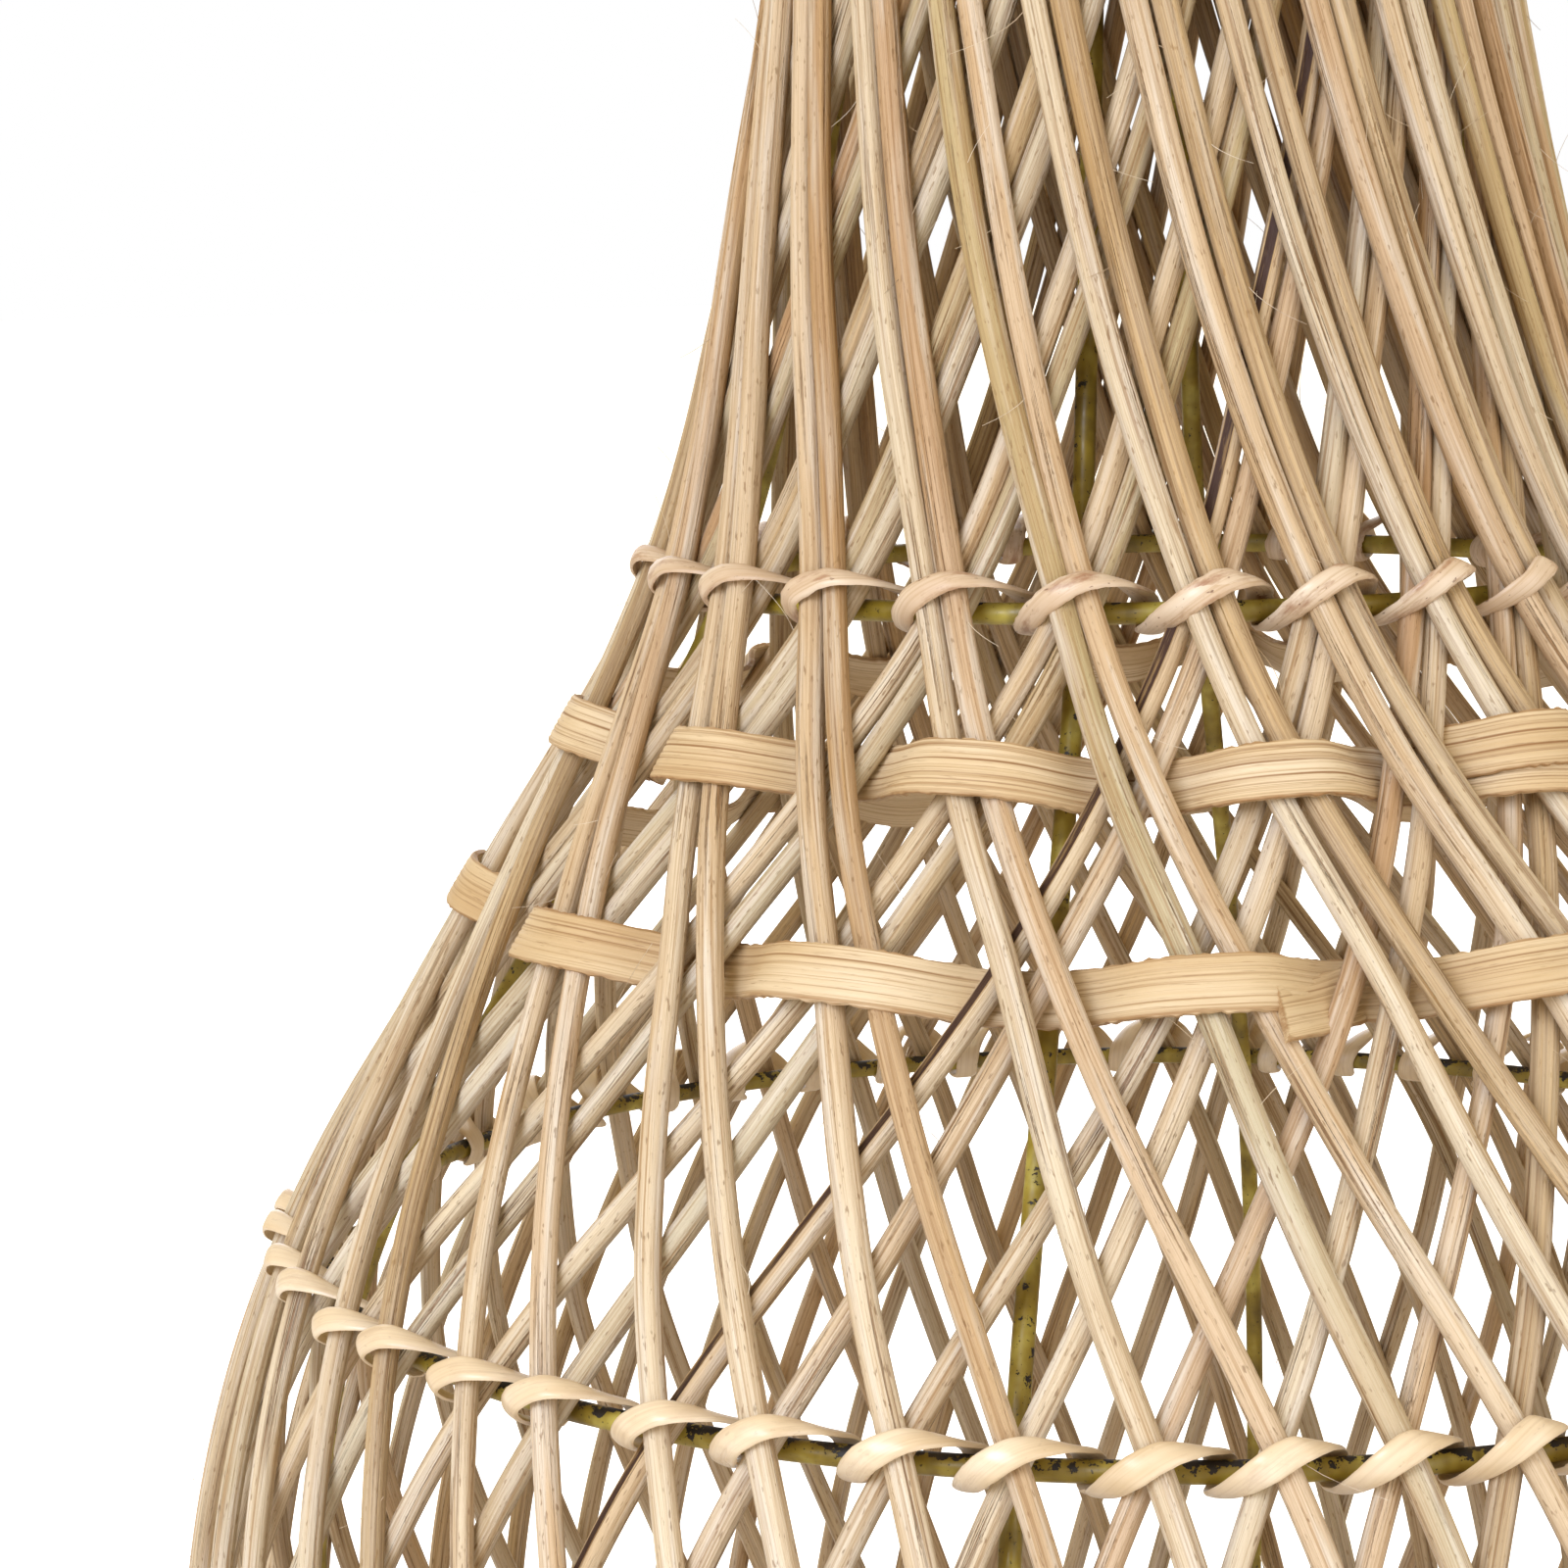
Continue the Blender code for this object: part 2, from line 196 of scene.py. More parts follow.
def wall_height_of(node, depth):
    """The height on the wall that the middle of a node, at this depth, lies square to."""
    low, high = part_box(node)
    heights = np.linspace(BOTTOM_Z, TOP_Z, HEIGHT_STEPS)
    points = wall(0.0, heights, depth)[0]
    return float(heights[np.argmin(np.abs(points[:, 2] - (low.z + high.z) / 2))])


# ---- where the reeds run

OUTER = Smooth([(height, outer) for height, outer, _ in LAYER_TURNS])
INNER = Smooth([(height, inner) for height, _, inner in LAYER_TURNS])
OPENING = Smooth(PAIR_OPENING)


def spread(angle):
    """Even angles made a little uneven, as hand-set pairs are."""
    turn = math.radians(UNEVEN_TURN)
    return angle + UNEVEN * (np.cos(np.radians(angle) + turn) - math.cos(turn)) + CAMERA_AZIMUTH


def pair_azimuth(pair, height, layer):
    turn = OUTER(height) if layer == "outer" else -INNER(height)
    return spread(FIRST_PAIR + PITCH * pair + turn)


def wander(chance, places, size, spans):
    """A slow random wave along a strand."""
    wave = np.zeros_like(places)
    for span in spans:
        wave += chance.uniform(-1, 1) * np.sin(2 * math.pi * (places / span + chance.random()))
    return wave * size / len(spans)


# ---- meshes


SHARP_ANGLE = math.radians(50.0)
MIDDLE_TONE = 0.5
GRAIN_ROOM = 5.0


def link(thing):
    bpy.context.scene.collection.objects.link(thing)


class Strands:
    """Vertices, faces and point attributes of several strands, gathered into one mesh."""

    def __init__(self):
        self.points = []
        self.faces = []
        self.grain = []
        self.tone = []
        self.stain_and_shade = []
        self.count = 0

    def sweep(self, path, normal, section, grain_start, tone, stain_and_shade=0.0, closed=False, skew=None):
        """A strand along path (n, 3). section (n, m, 2) holds its outline as (along normal, across).

        skew (n) slides one edge of each row along the path and the other back.
        """
        if closed:
            tangent = np.roll(path, -1, 0) - np.roll(path, 1, 0)
        else:
            tangent = np.gradient(path, axis=0)
        tangent /= np.linalg.norm(tangent, axis=1)[:, None]
        normal = normal - (normal * tangent).sum(1)[:, None] * tangent
        normal /= np.linalg.norm(normal, axis=1)[:, None]
        across = np.cross(tangent, normal)
        rows, sides = section.shape[:2]
        points = path[:, None] + section[..., :1] * normal[:, None] + section[..., 1:] * across[:, None]
        if skew is not None:
            points += skew[:, None, None] * section[..., 1:] * tangent[:, None]
        steps = np.linalg.norm(np.diff(path, axis=0), axis=1)
        along = np.concatenate([[0.0], np.cumsum(steps)])
        grain = np.concatenate([section, np.broadcast_to(along[:, None, None], (rows, sides, 1))], -1)
        self.points.append(points.reshape(-1, 3))
        self.grain.append((grain + grain_start).reshape(-1, 3))
        self.tone.append(np.broadcast_to(tone, (rows, sides)).reshape(-1))
        self.stain_and_shade.append(np.broadcast_to(stain_and_shade, (rows, sides)).reshape(-1))
        side = np.arange(sides)
        last = rows if closed else rows - 1
        for row in range(last):
            here = self.count + row * sides
            there = self.count + (row + 1) % rows * sides
            after = (side + 1) % sides
            self.faces += np.stack([here + side, here + after, there + after, there + side], 1).tolist()
        if not closed:
            self.faces.append((self.count + side[::-1]).tolist())
            self.faces.append((self.count + (rows - 1) * sides + side).tolist())
        self.count += rows * sides

    def piece(self, name, material, body, slot, replaced=()):
        mesh = bpy.data.meshes.new(name)
        mesh.from_pydata(np.concatenate(self.points).tolist(), [], self.faces)
        grain = mesh.attributes.new("grain", "FLOAT_VECTOR", "POINT")
        grain.data.foreach_set("vector", np.concatenate(self.grain).astype(np.float32).ravel())
        for label, values in (("tone", self.tone), ("stain_and_shade", self.stain_and_shade)):
            attribute = mesh.attributes.new(label, "FLOAT", "POINT")
            attribute.data.foreach_set("value", np.concatenate(values).astype(np.float32))
        mesh.materials.append(material)
        mesh.shade_smooth()
        mesh.set_sharp_from_angle(angle=SHARP_ANGLE)
        piece = bpy.data.objects.new(name, mesh)
        link(piece)
        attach(piece, body)
        if replaced:
            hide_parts(*replaced)


def grain_offset(chance):
    """A random start, so that no two strands show the same grain."""
    return np.array([chance.uniform(0, GRAIN_ROOM) for _ in range(3)])


def round_section(rows, sides, radius, chance=None, lumps=0.0):
    """A round outline at each row, with a few flats that run along the strand."""
    angles = 2 * math.pi * np.arange(sides) / sides
    uneven = np.ones(sides)
    if chance:
        uneven += np.array([chance.uniform(-lumps, lumps) for _ in range(sides)])
    radii = np.broadcast_to(np.asarray(radius, float).reshape(-1, 1), (rows, 1)) * uneven
    return np.stack([radii * np.cos(angles), radii * np.sin(angles)], -1)


# ---- materials


def srgb(red, green, blue):
    """Linear colour of a screen colour from 0 to 255."""
    linear = []
    for value in (red, green, blue):
        share = value / 255
        linear.append(share / 12.92 if share <= 0.04045 else ((share + 0.055) / 1.055) ** 2.4)
    return (*linear, 1.0)


class Graph:
    """A material under construction."""

    def __init__(self, name, settings=()):
        self.material = bpy.data.materials.new(name)
        self.material.use_nodes = True
        self.tree = self.material.node_tree
        self.shader = self.tree.nodes["Principled BSDF"]
        for socket, value in dict(settings).items():
            self.shader.inputs[socket].default_value = value

    def add(self, kind, inputs, **settings):
        node = self.tree.nodes.new("ShaderNode" + kind)
        for key, value in settings.items():
            setattr(node, key, value)
        for key, value in inputs.items():
            self.feed(node.inputs[key], value)
        return node

    def feed(self, socket, value):
        if isinstance(value, bpy.types.NodeSocket):
            self.tree.links.new(value, socket)
        else:
            socket.default_value = value

    def attribute(self, name, output="Vector"):
        return self.add("Attribute", {}, attribute_name=name).outputs[output]

    def place(self):
        return self.add("TexCoord", {}).outputs["Object"]

    def noise(self, vector, scale, detail=2.0, roughness=0.5):
        scaled = self.add("VectorMath", {0: vector, 1: scale}, operation="MULTIPLY").outputs[0]
        inputs = {"Vector": scaled, "Scale": 1.0, "Detail": detail, "Roughness": roughness}
        return self.add("TexNoise", inputs).outputs["Fac"]

    def ramp(self, value, stops):
        """A colour ramp over (place, share or screen colour) stops."""
        node = self.add("ValToRGB", {"Fac": value})
        elements = node.color_ramp.elements
        while len(elements) < len(stops):
            elements.new(0.5)
        for element, (place, colour) in zip(elements, stops):
            element.position = place
            element.color = srgb(*colour) if isinstance(colour, tuple) else (colour, colour, colour, 1.0)
        return node.outputs["Color"]

    def mix(self, share, low, high):
        node = self.add("Mix", {}, data_type="RGBA")
        self.feed(node.inputs[0], share)
        self.feed(node.inputs[6], low)
        self.feed(node.inputs[7], high)
        return node.outputs[2]

    def tint(self, colour, value, low, high, shade):
        """The colour, turned to a screen shade by the share that the value's two stops give."""
        return self.mix(self.ramp(value, [low, high]), colour, srgb(*shade))

    def layers(self, colour, vector, rows):
        """Lay tints from noises over a colour. Returns it and the noises by name."""
        noises = {}
        for name, settings, low, high, shade in rows:
            noises[name] = self.noise(vector, *settings)
            colour = self.tint(colour, noises[name], low, high, shade)
        return colour, noises

    def maths(self, operation, first, second):
        return self.add("Math", {0: first, 1: second}, operation=operation).outputs[0]

    def bump(self, height, distance, under=None):
        inputs = {"Height": height, "Distance": distance, "Strength": 1.0}
        if under:
            inputs["Normal"] = under
        return self.add("Bump", inputs).outputs["Normal"]

    def finish(self, colour, roughness=None, normal=None):
        self.feed(self.shader.inputs["Base Color"], colour)
        if roughness:
            self.feed(self.shader.inputs["Roughness"], roughness)
        if normal:
            self.feed(self.shader.inputs["Normal"], normal)
        return self.material


# What a reed's tone, from 0 to 1, looks like.
REED_TONES = (
    (0.0, (184, 168, 124)),
    (0.12, (202, 189, 158)),
    (0.3, (218, 206, 180)),
    (0.6, (224, 208, 177)),
    (0.8, (217, 193, 160)),
    (0.92, (202, 173, 140)),
    (1.0, (186, 150, 114)),
)
# Tints over it: (name, (noise scale, detail, roughness), low stop, high stop, screen shade).
REED_FIBRES = (
    ("patches", ((160.0, 160.0, 16.0), 3.0), (0.4, 0.0), (0.7, 0.55), (192, 154, 104)),
    ("pale", ((520.0, 520.0, 30.0), 2.0), (0.48, 0.0), (0.66, 0.7), (228, 218, 200)),
    ("fibres", ((1500.0, 1500.0, 14.0), 5.0, 0.7), (0.32, 0.7), (0.5, 0.0), (152, 108, 50)),
    ("threads", ((4600.0, 4600.0, 46.0), 2.0), (0.34, 0.4), (0.5, 0.0), (156, 116, 62)),
)
REED_MARKS = (
    ("scars", ((620.0, 620.0, 44.0), 3.0, 0.6), (0.66, 0.0), (0.76, 0.6), (146, 106, 64)),
    ("flecks", ((2200.0, 2200.0, 520.0), 2.0), (0.63, 0.0), (0.71, 0.6), (120, 84, 44)),
)


def reed_material():
    """Bare split rattan core: open lengthwise fibres, soft colour changes, dark flecks and scars, bark
    stains, and painted shade on each reed's inner side.
    """
    graph = Graph("reed", {"Specular IOR Level": 0.4})
    grain = graph.attribute("grain")
    stain_and_shade = graph.attribute("stain_and_shade", "Fac")
    colour = graph.ramp(graph.attribute("tone", "Fac"), REED_TONES)
    colour, noises = graph.layers(colour, grain, REED_FIBRES)
    fibres = noises["fibres"]
    splits = graph.noise(grain, (780.0, 780.0, 8.0), 4.0, 0.55)
    splits = graph.ramp(splits, [(0.470, 0.0), (0.494, 1.0), (0.506, 1.0), (0.530, 0.0)])
    shown = graph.noise(grain, (430.0, 430.0, 26.0), 2.0)
    splits = graph.maths("MULTIPLY", splits, graph.ramp(shown, [(0.51, 0.0), (0.65, 0.8)]))
    colour = graph.mix(splits, colour, srgb(122, 80, 36))
    colour, _ = graph.layers(colour, grain, REED_MARKS)
    # The colour that the stain attribute turns a reed to: bark brown for real stains, and a golden brown
    # that also paints the shade on the inner side.
    bark_and_shade = graph.ramp(fibres, [(0.35, 0.0), (0.65, 1.0)])
    bark_and_shade = graph.mix(bark_and_shade, srgb(112, 78, 32), srgb(190, 150, 84))
    colour = graph.mix(graph.ramp(stain_and_shade, [(0.0, 0.0), (0.6, 0.9)]), colour, bark_and_shade)
    broken = graph.noise(grain, (900.0, 900.0, 70.0), 4.0, 0.7)
    line = graph.maths("MULTIPLY", graph.ramp(stain_and_shade, [(0.45, 0.0), (0.58, 1.0)]), 0.95)
    line = graph.maths("MULTIPLY", line, graph.ramp(broken, [(0.32, 0.35), (0.46, 1.0)]))
    colour = graph.mix(line, colour, srgb(54, 26, 18))
    roughness = graph.ramp(fibres, [(0.3, 0.72), (0.7, 0.46)])
    normal = graph.bump(graph.maths("SUBTRACT", fibres, splits), 0.00022)
    fuzz = graph.noise(grain, (3200.0, 3200.0, 500.0), 3.0, 0.7)
    normal = graph.bump(fuzz, 0.00014, normal)
    return graph.finish(colour, roughness, normal)


def weaver_material():
    """Flat reed: the same core, sawn flat, with brown grooves between its ridges, rough brown edges, and
    painted shade at its cut ends.
    """
    graph = Graph("flat_reed", {"Specular IOR Level": 0.4})
    grain = graph.attribute("grain")
    groove = graph.attribute("tone", "Fac")
    edge = graph.attribute("stain_and_shade", "Fac")
    patches = graph.noise(grain, (90.0, 90.0, 20.0), 3.0)
    colour = graph.ramp(
        patches, [(0.3, (196, 164, 118)), (0.5, (212, 186, 144)), (0.72, (226, 206, 172))]
    )
    fibres = graph.noise(grain, (500.0, 2400.0, 14.0), 4.0, 0.65)
    colour = graph.tint(colour, fibres, (0.36, 0.75), (0.5, 0.0), (164, 128, 84))
    depth = graph.maths("MULTIPLY", groove, graph.noise(grain, (400.0, 700.0, 26.0), 3.0, 0.6))
    colour = graph.tint(colour, depth, (0.22, 0.0), (0.56, 0.9), (138, 96, 52))
    pores = graph.noise(grain, (500.0, 4200.0, 260.0), 2.0)
    colour = graph.tint(colour, pores, (0.64, 0.0), (0.74, 0.5), (138, 98, 58))
    # Rough brown edges, and painted shade at the cut ends, where the edge attribute is high.
    rough_edge_and_end_shade = graph.maths("MULTIPLY", edge, graph.noise(grain, (900.0, 900.0, 90.0), 3.0, 0.7))
    colour = graph.tint(colour, rough_edge_and_end_shade, (0.30, 0.0), (0.58, 0.75), (150, 108, 60))
    roughness = graph.ramp(fibres, [(0.3, 0.7), (0.7, 0.48)])
    return graph.finish(colour, roughness, graph.bump(fibres, 0.0002))


def cane_material(name, body, lined, blotch, gloss):
    """Bark-side cane: smooth and glossy, with faint lines and, where blotch is high, brown stains."""
    graph = Graph(name, {"Specular IOR Level": 0.55})
    grain = graph.attribute("grain")
    patches = graph.noise(grain, (260.0, 260.0, 60.0), 3.0)
    colour = graph.ramp(patches, list(zip((0.3, 0.52, 0.75), body)))
    rows = (
        ("lines", ((800.0, 2600.0, 30.0), 3.0, 0.6), (0.36, lined), (0.5, 0.0), (178, 144, 102)),
        ("stains", ((360.0, 360.0, 120.0), 5.0, 0.65), (0.52, 0.0), (0.66, blotch), (152, 106, 72)),
        ("flecks", ((1500.0, 1500.0, 800.0), 2.0), (0.68, 0.0), (0.75, blotch), (104, 64, 40)),
    )
    colour, noises = graph.layers(colour, grain, rows)
    roughness = graph.ramp(patches, [(0.3, gloss + 0.12), (0.7, gloss)])
    return graph.finish(colour, roughness, graph.bump(noises["lines"], 0.00012 * lined))


def paint_material():
    """Olive-yellow paint on steel wire. The tone attribute says how bare its upper side is worn."""
    graph = Graph("painted_wire", {"Specular IOR Level": 0.5})
    place = graph.place()
    wear = graph.attribute("tone", "Fac")
    tint = graph.noise(place, (150.0,) * 3, 3.0)
    colour = graph.ramp(
        tint, [(0.3, (112, 92, 26)), (0.5, (150, 128, 40)), (0.72, (196, 180, 84))]
    )
    facing = graph.add("NewGeometry", {}).outputs["Normal"]
    upward = graph.add("SeparateXYZ", {"Vector": facing}).outputs["Z"]
    flakes = graph.noise(place, (520.0,) * 3, 5.0, 0.66)
    bare = graph.maths("ADD", flakes, graph.maths("MULTIPLY", upward, wear))
    chips = graph.ramp(bare, [(0.645, 0.0), (0.665, 1.0)])
    colour = graph.mix(chips, colour, srgb(34, 29, 25))
    grime = graph.noise(place, (300.0, 300.0, 90.0), 3.0)
    colour = graph.tint(colour, grime, (0.5, 0.0), (0.72, 0.55), (78, 60, 18))
    specks = graph.noise(place, (1700.0,) * 3, 1.0)
    colour = graph.tint(colour, specks, (0.70, 0.0), (0.74, 0.8), (40, 34, 18))
    roughness = graph.ramp(bare, [(0.4, 0.32), (0.66, 0.6)])
    height = graph.mix(chips, (1.0, 1.0, 1.0, 1.0), (0.0, 0.0, 0.0, 1.0))
    normal = graph.bump(height, 0.00006)
    normal = graph.bump(tint, 0.0002, normal)
    return graph.finish(colour, roughness, normal)


def hard_material(name, tones, tone_noise, roughness, fine_noise, height, settings=()):
    """Plastic or metal: a slow change of tone, and a fine grain or fine turned rings."""
    graph = Graph(name, settings)
    place = graph.place()
    shade = graph.noise(place, *tone_noise)
    fine = graph.noise(place, *fine_noise)
    dark, light = tones
    colour = graph.ramp(shade, [(0.3, dark), (0.7, light)])
    dull, bright = roughness
    rough = graph.ramp(shade if settings else fine, [(0.3, dull), (0.7, bright)])
    return graph.finish(colour, rough, graph.bump(fine, height))


def metal_material(name, tones, roughness):
    rings = ((60.0, 60.0, 5200.0), 2.0)
    return hard_material(name, tones, ((240.0,) * 3, 3.0), roughness, rings, 0.00003, {"Metallic": 1.0})


def ceramic_material():
    """White glazed ceramic with a soft ripple and a few iron specks."""
    graph = Graph("glazed_ceramic")
    place = graph.place()
    shade = graph.noise(place, (90.0,) * 3, 2.0)
    colour = graph.ramp(shade, [(0.3, (226, 222, 212)), (0.7, (240, 238, 230))])
    specks = graph.noise(place, (1800.0,) * 3, 1.0)
    colour = graph.tint(colour, specks, (0.72, 0.0), (0.76, 0.6), (150, 132, 106))
    roughness = graph.ramp(shade, [(0.3, 0.12), (0.7, 0.22)])
    return graph.finish(colour, roughness, graph.bump(shade, 0.0002))


REED = reed_material()
FLAT_REED = weaver_material()
NECK_CANE = cane_material(
    "blotched_cane", ((196, 166, 132), (210, 186, 156), (222, 204, 178)), 0.5, 0.85, 0.34
)
BELLY_CANE = cane_material(
    "clean_cane", ((214, 188, 148), (225, 203, 168), (233, 215, 186)), 0.22, 0.18, 0.26
)
PAINT = paint_material()
PLASTIC = hard_material(
    "black_plastic",
    ((22, 22, 23), (34, 33, 33)),
    ((60.0,) * 3, 3.0),
    (0.52, 0.40),
    ((2600.0,) * 3, 2.0),
    0.00003,
)
CERAMIC = ceramic_material()
BRASS = metal_material("brass", ((168, 132, 70), (208, 172, 104)), (0.42, 0.28))
STEEL = metal_material("zinc_steel", ((150, 150, 150), (190, 190, 192)), (0.45, 0.30))


# ---- splints


# Each reed's girth, as a share of the stock size, and how much wider than deep it is.
REED_GIRTH = (0.95, 1.10)
REED_FLATTENING = 1.04
REED_LUMPS = 0.05
# Slow waves along a reed, as (size, spans in metres): across the wall in degrees, into it, and in girth.
ACROSS_WAVE = (0.32, (0.10, 0.17, 0.31))
DEPTH_WAVE = (0.0003, (0.06, 0.14))
GIRTH_WAVE = (0.06, (0.05, 0.12))
# Towards the neck the reeds are browner and differ more in tone than at the belly.
NECK_BLEND_HEIGHTS = (-0.27, -0.17)
BELLY_TONES = 0.8
NECK_TONES = 1.2
NECK_BROWNING = 0.14
# Every reed is painted browner on its inner side, as painted shade for the shade that falls inside the wall;
# and none so dark that its stain and painted shade become a split.
INSIDE_PAINTED_SHADE = 0.30
MOST_STAIN_AND_SHADE = 0.43

# How many of the other reeds are stained, and how much.
STAINED_SHARE = 0.12
STAIN_RANGE = (0.15, 0.4)
# Reeds that kept some of their dark bark, as a share of stain.
STAINED = {
    ("outer", 0, 1): 0.30,
    ("outer", 1, 1): 0.25,
    ("inner", 3, 1): 0.3,
    ("outer", 13, 1): 0.35,
}
# Reeds with a dark split along the outer side: the faces that it takes up, and those it stains.
GROOVED = (("inner", 0, -1), ("inner", 17, -1), ("outer", 9, 1))
SPLIT_FACES = slice(1, 3)
SPLIT_EDGE = slice(3, 6)
SPLIT_EDGE_STAIN = 0.3
SPLIT_SINK = 0.86


def layer_depth(layer):
    return OUTER_DEPTH if layer == "outer" else INNER_DEPTH


def add_reed(strands, chance, pair, side, layer):
    heights = np.linspace(TOP_Z, BOTTOM_Z, REED_STATIONS)
    azimuth = pair_azimuth(pair, heights, layer) + side * OPENING(heights)
    azimuth = azimuth + wander(chance, heights, *ACROSS_WAVE)
    depth = layer_depth(layer) + wander(chance, heights, *DEPTH_WAVE)
    path, normal, _ = wall(azimuth, heights, depth)
    girth = REED_RADIUS * chance.uniform(*REED_GIRTH)
    radius = girth * (1 + wander(chance, heights, *GIRTH_WAVE))
    section = round_section(REED_STATIONS, REED_SIDES, radius, chance, REED_LUMPS)
    section[..., 1] *= REED_FLATTENING
    section[..., 0] /= REED_FLATTENING
    neckness = np.interp(heights, NECK_BLEND_HEIGHTS, (0.0, 1.0))[:, None]
    variety = BELLY_TONES + (NECK_TONES - BELLY_TONES) * neckness
    tone = np.clip(MIDDLE_TONE + (chance.random() - 0.5) * variety, 0.0, 1.0)
    shade = STAINED.get((layer, pair, side), 0.0)
    if not shade and chance.random() < STAINED_SHARE:
        shade = chance.uniform(*STAIN_RANGE)
    # Painted shade: the inner side of each reed is painted browner, most on its inmost face, on top of real
    # bark stain and the neck's browning.
    inward = 0.5 - 0.5 * np.cos(2 * math.pi * np.arange(REED_SIDES) / REED_SIDES)
    stain_and_shade = np.minimum(shade + NECK_BROWNING * neckness + INSIDE_PAINTED_SHADE * inward**2, MOST_STAIN_AND_SHADE)
    if (layer, pair, side) in GROOVED:
        stain_and_shade[:, SPLIT_FACES] = 1.0
        stain_and_shade[:, SPLIT_EDGE] = SPLIT_EDGE_STAIN
        section[:, SPLIT_FACES] *= SPLIT_SINK
    strands.sweep(path, normal, section, grain_offset(chance), tone, stain_and_shade)


def build_splints():
    chance = random.Random(SEED)
    for layer in ("outer", "inner"):
        for first in range(0, PAIRS, PAIRS_PER_PIECE):
            strands = Strands()
            for pair in range(first, first + PAIRS_PER_PIECE):
                for side in (-1, 1):
                    add_reed(strands, chance, pair, side, layer)
            number = first // PAIRS_PER_PIECE + 1
            strands.piece(
                f"{layer}_splints_{number:02d}", REED, "shade", "rattan", [f"{layer}_splints"]
            )


# ---- frame wire


# How bare each ring's upper side is worn.
RING_WEAR = {"top_ring": 0.10, "neck_ring": 0.06, "belly_ring": 0.20, "bottom_ring": 0.15}
RIB_WEAR = 0.10
QUARTER = 90.0
SPOKE_STATIONS = 12
WIRE_RADIUS = 0.0015
WIRE_SIDES = 14
WIRE_LUMPS = 0.02
RING_STATIONS = 220
RIB_DEPTH = RING_DEPTH + 0.0033
RIB_STATIONS = 400
RIB_STEP = 3
RIB_END_GAP = 0.0002


def wire_piece(node, path, normal, radius, wear, chance=None, closed=False):
    strands = Strands()
    section = round_section(len(path), WIRE_SIDES, radius, chance, WIRE_LUMPS)
    start = grain_offset(chance) if chance else np.zeros(3)
    strands.sweep(path, normal, section, start, wear, closed=closed)
    strands.piece(node + "_wire", PAINT, "shade", "painted_wire", [node])


def ring_piece(node):
    low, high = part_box(node)
    wire = (high.z - low.z) / 2
    radius = (high.x - low.x) / 2 - wire
    angles = 2 * math.pi * np.arange(RING_STATIONS) / RING_STATIONS
    out = np.stack([np.sin(angles), -np.cos(angles), 0 * angles], -1)
    path = out * radius + np.array([0, 0, (low.z + high.z) / 2])
    wire_piece(node, path, out, wire, RING_WEAR[node], random.Random(node), closed=True)


def rib_piece(node):
    """A rib, which follows the wall on the quarter that the CAD rod lies on."""
    points = np.array([v.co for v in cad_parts[node].data.vertices])
    furthest = points[np.argmax(np.abs(points[:, :2]).max(1))]
    azimuth = round(math.degrees(math.atan2(furthest[0], -furthest[1])) / QUARTER) * QUARTER
    low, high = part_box(node)
    path, normal, _ = wall(azimuth, np.linspace(TOP_Z, BOTTOM_Z, RIB_STATIONS), RIB_DEPTH)
    inside = (path[:, 2] > low.z + RIB_END_GAP) & (path[:, 2] < high.z - RIB_END_GAP)
    path, normal = path[inside][::RIB_STEP], normal[inside][::RIB_STEP]
    wire_piece(node, path, normal, WIRE_RADIUS, RIB_WEAR, random.Random(node))


def build_frame():
    for node in ("top_ring", "neck_ring", "belly_ring", "bottom_ring"):
        ring_piece(node)
    for number in range(1, 5):
        rib_piece(f"rib_{number}")


# ---- flat weavers

WEAVER_WIDTH = 0.0079
WEAVER_THICKNESS = 0.0011
WEAVER_RIDGES = 8
WEAVER_STATIONS = 900
WEAVER_OUT = -0.0013
WEAVER_IN = LAYERS + 0.0011
WEAVER_FRAY = 0.00009
# The CAD strap's own middle lies this deep, just outside the wall.
STRAP_DEPTH = -0.0012
# From 0 for a plain wave to 1 for a strip that hugs the reeds and dives between them.
WEAVER_TAUTNESS = 0.85
# A slanted cut at the start of each weaver, as a slope, and the stations it is spread over.
WEAVER_CUT = -0.4
WEAVER_CUT_ROWS = 8
# A slow wave in a weaver's height, as (size, spans in degrees).
WEAVER_WAVE = (0.0008, (47.0, 83.0))
# Degrees over which an end is eased on to the other one, and how far from it the drop begins.
LAP_EASE = 4.0
DROP_LEAD = 3.0
# How far a weaver stays level, where the flared wall would carry it down as it goes in.
WEAVER_LEVEL = 0.0008
RIDGE_HEIGHT = 0.00014
RIDGE_STRENGTHS = (0.25, 1.15)
BACK_POINTS = 9
BACK_WIDTH = 0.98
CROWN_FALL = 0.35
# Points further out than these shares of the width are frayed, and coloured as rough edges.
FRAYED_OUTSIDE = 0.47
ROUGH_OUTSIDE = 0.44


def crossings_at(height, step, pairs, sides=(0,)):
    """Where outer reeds lie over the inner reeds that are this many pairs along.

    sides says which reeds of each pair are meant: -1 and 1 for the two reeds, or 0 for the pair.
    """
    outer = pair_azimuth(pairs, height, "outer")
    inner = pair_azimuth(pairs + step, height, "inner")
    shifts = np.array(sides) * OPENING(height)
    return ((outer[:, None] + shifts + (inner[:, None] + shifts)) / 2).ravel()


